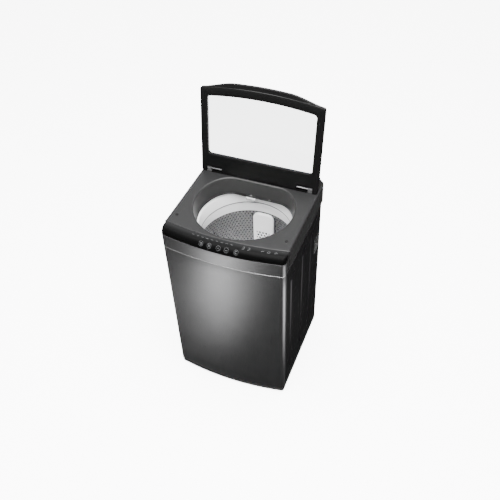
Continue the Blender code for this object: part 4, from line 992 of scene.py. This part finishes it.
def emboss(material, pitch, bulge, hole, region=None):
    """A staggered pattern in the piece's own metres: distance d from the nearest place of a lattice whose
    every second row is moved by half a pitch; the bulge is a dome of d, and a hole is a dent painted dark,
    painted shade for the space seen through it, where d is small round a second lattice between the first
    one's places. A region of (half width, height) keeps the holes within that width and below that height,
    and leaves the domes out."""
    tree = material.node_tree
    shader = tree.nodes["Principled BSDF"]
    uv = wire(tree, "ShaderNodeUVMap", uv_map="metres")
    split = wire(tree, "ShaderNodeSeparateXYZ", [("Vector", uv.outputs["UV"])])

    def sum_up(kind, a, b=0.0, c=0.0):
        return wire(tree, "ShaderNodeMath", [(0, a), (1, b), (2, c)], operation=kind).outputs["Value"]

    def lattice(shift):
        v = sum_up("ADD", sum_up("DIVIDE", split.outputs["Y"], pitch[1]), shift)
        stagger = sum_up("MULTIPLY", sum_up("MODULO", sum_up("FLOOR", v), 2.0), 0.5)
        u = sum_up("ADD", sum_up("DIVIDE", split.outputs["X"], pitch[0]), stagger)
        du = sum_up("MULTIPLY", sum_up("SUBTRACT", sum_up("FRACT", u), 0.5), pitch[0])
        dv = sum_up("MULTIPLY", sum_up("SUBTRACT", sum_up("FRACT", v), 0.5), pitch[1])
        return sum_up("SQRT", sum_up("ADD", sum_up("MULTIPLY", du, du), sum_up("MULTIPLY", dv, dv)))

    dome = wire(tree, "ShaderNodeMapRange", [("Value", lattice(0.0)), ("From Min", 0.001),
                                             ("From Max", bulge), ("To Min", 1.0), ("To Max", 0.0)],
                interpolation_type="SMOOTHSTEP")
    open_hole = wire(tree, "ShaderNodeMapRange", [("Value", lattice(0.5)), ("From Min", hole * 0.8),
                                                  ("From Max", hole), ("To Min", 1.0), ("To Max", 0.0)])
    mask = open_hole.outputs["Result"]
    if region:
        inside = wire(tree, "ShaderNodeMath", [(0, split.outputs["Y"]), (1, region[1])],
                      operation="LESS_THAN")
        across_limit = sum_up("LESS_THAN", sum_up("ABSOLUTE", split.outputs["X"]), region[0])
        mask = sum_up("MULTIPLY", mask, sum_up("MULTIPLY", inside.outputs["Value"], across_limit))
    # The holes are not cut: their near-black colour is painted shade for the dark space behind them.
    old = shader.inputs["Base Color"].links[0].from_socket
    dark = wire(tree, "ShaderNodeMix", [("Factor", mask), ("A", old), ("B", (0.004, 0.004, 0.004, 1))],
                data_type="RGBA")
    tree.links.new(dark.outputs["Result"], shader.inputs["Base Color"])
    height = sum_up("SUBTRACT", sum_up("MULTIPLY", dome.outputs["Result"], 1.0 if not region else 0.0),
                    mask)
    relief = wire(tree, "ShaderNodeBump", [("Height", height), ("Distance", 0.004), ("Strength", 1.0)])
    fine = shader.inputs["Normal"].links[0].from_socket
    tree.links.new(fine, relief.inputs["Normal"])
    tree.links.new(relief.outputs["Normal"], shader.inputs["Normal"])


# Drain holes painted dark as painted shade.
emboss(stainless, dimple_pitch, 0.0066, 0.0034)
around_drum = np.linspace(0, 2 * math.pi, 361)
up_drum = np.linspace(drum_low[2], drum_high[2], 30)
turn_grid, up_grid = np.meshgrid(around_drum, up_drum)
inside = drum_outside - sheet
drum_points = np.stack([inside * np.cos(turn_grid), tub_y + inside * np.sin(turn_grid), up_grid], axis=-1)
drum_metres = np.stack([turn_grid * (85 * dimple_pitch[0] / (2 * math.pi)), up_grid], axis=-1)
skin("drum_wall_sheet", drum_points, stainless, "drum", ["drum_wall"], wall=0.0009, flip=True,
     uv=drum_metres)


# Drum base.
# The white moulded floor of the drum, dished up at its rim, under the pulsator.

floor_low, floor_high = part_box("drum_base")
floor_outside = (floor_high[0] - floor_low[0]) / 2
turned("drum_base_moulding",
       [(floor_outside, floor_high[2]), (floor_outside, floor_low[2]), (0.0105, floor_low[2]),
        (0.0105, floor_low[2] + 0.006), (0.170, floor_low[2] + 0.006), (0.190, floor_low[2] + 0.009),
        (0.207, floor_low[2] + 0.0145), (floor_outside - 0.004, floor_high[2])],
       gloss_white, "drum", ["drum_base"])


# Pulsator.
# A white moulded disc with six swept vanes that rise to the hub; a steel screw holds it on its shaft.

vane_low, vane_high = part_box("pulsator")
disc_radius = (vane_high[0] - vane_low[0]) / 2


def pulsator_height(radius, angle):
    """Height over the disc's bottom: a dished disc that falls to its edge, and vanes that follow a curved
    line and fade out at the rim, with a hub in the middle."""
    share = radius / disc_radius
    disc = 0.006 + 0.010 * (1 - share) ** 1.5 + 0.002 * ease((share - 0.9) / 0.1)
    sweep = angle + 0.55 * share ** 1.4
    ridge = np.cos(sweep * 6) * 0.5 + 0.5
    vane = ridge ** 5 * ease((share - 0.16) / 0.2) * ease((1.0 - share) / 0.25)
    hub = ease((0.22 - share) / 0.10)
    return np.minimum(disc + 0.0115 * vane + 0.0130 * hub, vane_high[2] - vane_low[2])


disc_r, disc_a = np.meshgrid(np.linspace(0.0062, disc_radius - 0.0012, 64),
                             np.linspace(0, 2 * math.pi, 241)[:-1], indexing="ij")
top = vane_low[2] + pulsator_height(disc_r, disc_a)
top_rows = np.stack([disc_r * np.cos(disc_a), tub_y + disc_r * np.sin(disc_a), top], axis=-1)
edge = [(disc_radius, vane_low[2] + 0.0045), (disc_radius, vane_low[2] + 0.001),
        (disc_radius - 0.001, vane_low[2]), (0.0062, vane_low[2])]
edge_rows = np.stack([np.stack([r * np.cos(disc_a[0]), tub_y + r * np.sin(disc_a[0]), np.full(240, z)],
                               axis=-1)
                      for r, z in edge])
skin("pulsator_moulding", np.concatenate([top_rows, edge_rows]), gloss_white, "pulsator", ["pulsator"],
     ring_rows=True, ring_columns=True, sharp=50)
refinish(plated, "pulsator_screw")


# Lint filter.
# A white cartridge with a round-shouldered front, clipped to the drum wall; slots low on its face let the
# water through its bag.

filter_low, filter_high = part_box("lint_filter")
filter_half = filter_high[0]
filter_front, filter_back = filter_low[1], filter_high[1]
filter_white = moulding("filter_white", (0.92, 0.92, 0.92), 0.25, grain=0.003, depth=0.00002, mottle=0.02)
# Slots painted dark as painted shade.
emboss(filter_white, (0.0165, 0.0165), 0.002, 0.0058, region=(0.033, 0.585))


def filter_loop(inset, y):
    """The cartridge's face outline: large shoulders at the top, small corners at the bottom."""
    side = filter_half - inset
    turn = np.linspace(0, math.pi / 2, 12)
    quarter = np.column_stack([np.cos(turn), np.sin(turn)])
    shoulder = 0.034 - inset
    foot_radius = max(0.006 - inset, 0.001)
    low = quarter[::-1] * (1, -1) * foot_radius + (side - foot_radius, filter_low[2] + inset + foot_radius)
    high = quarter * shoulder + (side - shoulder, filter_high[2] - inset - shoulder)
    right = np.vstack([low, high])
    outline = np.vstack([right, right[::-1] * (-1, 1)])
    return np.column_stack([outline[:, 0], np.full(len(outline), y), outline[:, 1]])


turn = np.linspace(0, math.pi / 2, 6)
filter_rows = [filter_loop(0.0015, filter_back), filter_loop(0.0, filter_back - 0.001)]
filter_rows += [filter_loop(0.006 * (1 - math.cos(a)), filter_front + 0.006 - 0.006 * math.sin(a))
                for a in turn]
filter_rows += [filter_loop(inset, filter_front) for inset in (0.012, 0.020, 0.028)]
filter_points = np.stack(filter_rows)
skin("lint_filter_cartridge", filter_points, filter_white, "lint_filter", ["lint_filter"],
     ring_columns=True, caps=True, uv=filter_points[..., [0, 2]])


# Filter rails.
# Two low ridges of darker steel on the drum wall beside the cartridge; the darker steel is painted shade
# for the shaded seams at its sides.

seam_shade_steel = brushed("seam_shade_rail", (0.10, 0.10, 0.10), 0.4, along=2)


def filter_rail(name, side):
    """A low ridge on the drum wall beside the cartridge, its darker steel painted shade."""
    x = (filter_half + np.array([0.0012, 0.0022, 0.0045, 0.0070, 0.0080])) * side
    raised = np.array([0.0, 0.0030, 0.0036, 0.0026, 0.0])
    z = np.linspace(filter_low[2], filter_high[2] - 0.012, 24)
    wall_y = tub_y + np.sqrt((inside - 0.0006) ** 2 - x ** 2) - raised
    points = np.stack([np.column_stack([x, wall_y, np.full(5, height)]) for height in z])
    skin(name, points, seam_shade_steel, "drum", wall=0.0005, flip=side < 0)


filter_rail("filter_rail_left", -1)
filter_rail("filter_rail_right", 1)


# Studio: a pale floor, a bright soft sky that is dark below the floor, and soft boxes that draw the
# highlights.

floor_mesh = bpy.data.meshes.new("studio_floor")
floor_mesh.from_pydata([(-30, -30, 0), (30, -30, 0), (30, 30, 0), (-30, 30, 0)], [], [(0, 1, 2, 3)])
studio_floor = bpy.data.objects.new("studio_floor", floor_mesh)
studio_floor.location.z = cad_low[2] - 0.0005
studio_floor.visible_glossy = False
floor_mesh.materials.append(moulding("floor_white", (0.88, 0.88, 0.88), 0.9, mottle=0.0,
                                     Specular_IOR_Level=0.0,
                                     Emission_Color=(1.0, 1.0, 1.0, 1.0), Emission_Strength=6.5))
bpy.context.scene.collection.objects.link(studio_floor)

world = bpy.data.worlds.new("studio")
world.use_nodes = True
bpy.context.scene.world = world
sky = world.node_tree
direction = wire(sky, "ShaderNodeTexCoord").outputs["Generated"]
up = wire(sky, "ShaderNodeSeparateXYZ", [("Vector", direction)]).outputs["Z"]
shade = wire(sky, "ShaderNodeMapRange", [("Value", up), ("From Min", -0.12), ("From Max", 0.02),
                                         ("To Min", 0.02), ("To Max", 1.0)])
sky.links.new(shade.outputs["Result"], sky.nodes["Background"].inputs["Color"])
sky.nodes["Background"].inputs["Strength"].default_value = 1.5


def soft_box(name, place, aim, size, power):
    """A rectangular light at a place, pointing at aim."""
    light = bpy.data.lights.new(name, "AREA")
    light.shape = "RECTANGLE"
    light.size, light.size_y = size
    light.energy = power
    lamp = bpy.data.objects.new(name, light)
    lamp.location = place
    direction = np.array(aim) - np.array(place)
    lamp.rotation_euler = Vector(direction).to_track_quat("-Z", "Y").to_euler()
    lamp.visible_camera = False
    bpy.context.scene.collection.objects.link(lamp)


def soft_card(name, middle, size, strength):
    """A glowing card just over the floor that only reflections see; it fades from its middle to its
    edges."""
    mesh = bpy.data.meshes.new(name)
    mesh.from_pydata([(x, y, 0) for x, y in ((-1, -1), (1, -1), (1, 1), (-1, 1))], [], [(0, 1, 2, 3)])
    material = bpy.data.materials.new(name)
    material.use_nodes = True
    tree = material.node_tree
    place = wire(tree, "ShaderNodeTexCoord").outputs["Object"]
    fade = wire(tree, "ShaderNodeTexGradient", [("Vector", place)], gradient_type="QUADRATIC_SPHERE")
    glow = wire(tree, "ShaderNodeMapRange", [("Value", fade.outputs["Fac"]), ("To Max", strength)])
    light = wire(tree, "ShaderNodeEmission", [("Strength", glow.outputs["Result"])])
    clear = wire(tree, "ShaderNodeBsdfTransparent")
    both = wire(tree, "ShaderNodeAddShader", [(0, light.outputs["Emission"]), (1, clear.outputs["BSDF"])])
    tree.links.new(both.outputs["Shader"], tree.nodes["Material Output"].inputs["Surface"])
    mesh.materials.append(material)
    card = bpy.data.objects.new(name, mesh)
    card.location = (*middle, 0.004)
    card.scale = (size[0], size[1], 1)
    card.visible_camera = False
    card.visible_diffuse = False
    card.visible_shadow = False
    card.visible_transmission = False
    bpy.context.scene.collection.objects.link(card)


soft_box("overhead", (0.2, -0.5, 3.6), (0, 0, 0.8), (3.2, 3.2), 560)
soft_box("key", (0.55, -1.9, 3.1), (0, 0.15, 0.75), (0.45, 0.45), 55)
soft_card("front_glow", (-0.32, -1.12), (0.56, 0.86), 4.9)
soft_card("front_fill", (-0.45, -0.80), (1.1, 1.1), 0.16)
soft_card("right_glow", (0.88, -0.30), (0.45, 0.95), 5.0)
soft_card("left_glow", (-0.70, -0.05), (0.35, 0.5), 3.0)


# Camera: in front, a little to the right and well above, looking down into the drum.

camera_data = bpy.data.cameras.new("camera")
camera_data.lens = 46.09
camera_data.sensor_width = 36.0
camera_data.clip_end = 100
camera = bpy.data.objects.new("camera", camera_data)
bpy.context.scene.collection.objects.link(camera)
yaw, pitch, roll_by = (math.radians(v) for v in (23.41, 44.31, -2.44))
forward = np.array([-math.sin(yaw) * math.cos(pitch), math.cos(yaw) * math.cos(pitch), -math.sin(pitch)])
level = np.array([math.cos(yaw), math.sin(yaw), 0.0])
upright = np.cross(level, forward)
right = level * math.cos(roll_by) + upright * math.sin(roll_by)
above = upright * math.cos(roll_by) - level * math.sin(roll_by)
pose = np.eye(4)
pose[:3, 0], pose[:3, 1], pose[:3, 2], pose[:3, 3] = right, above, -forward, (0.8476, -1.9127, 2.6999)
camera.matrix_world = Matrix(pose.tolist())
bpy.context.scene.camera = camera
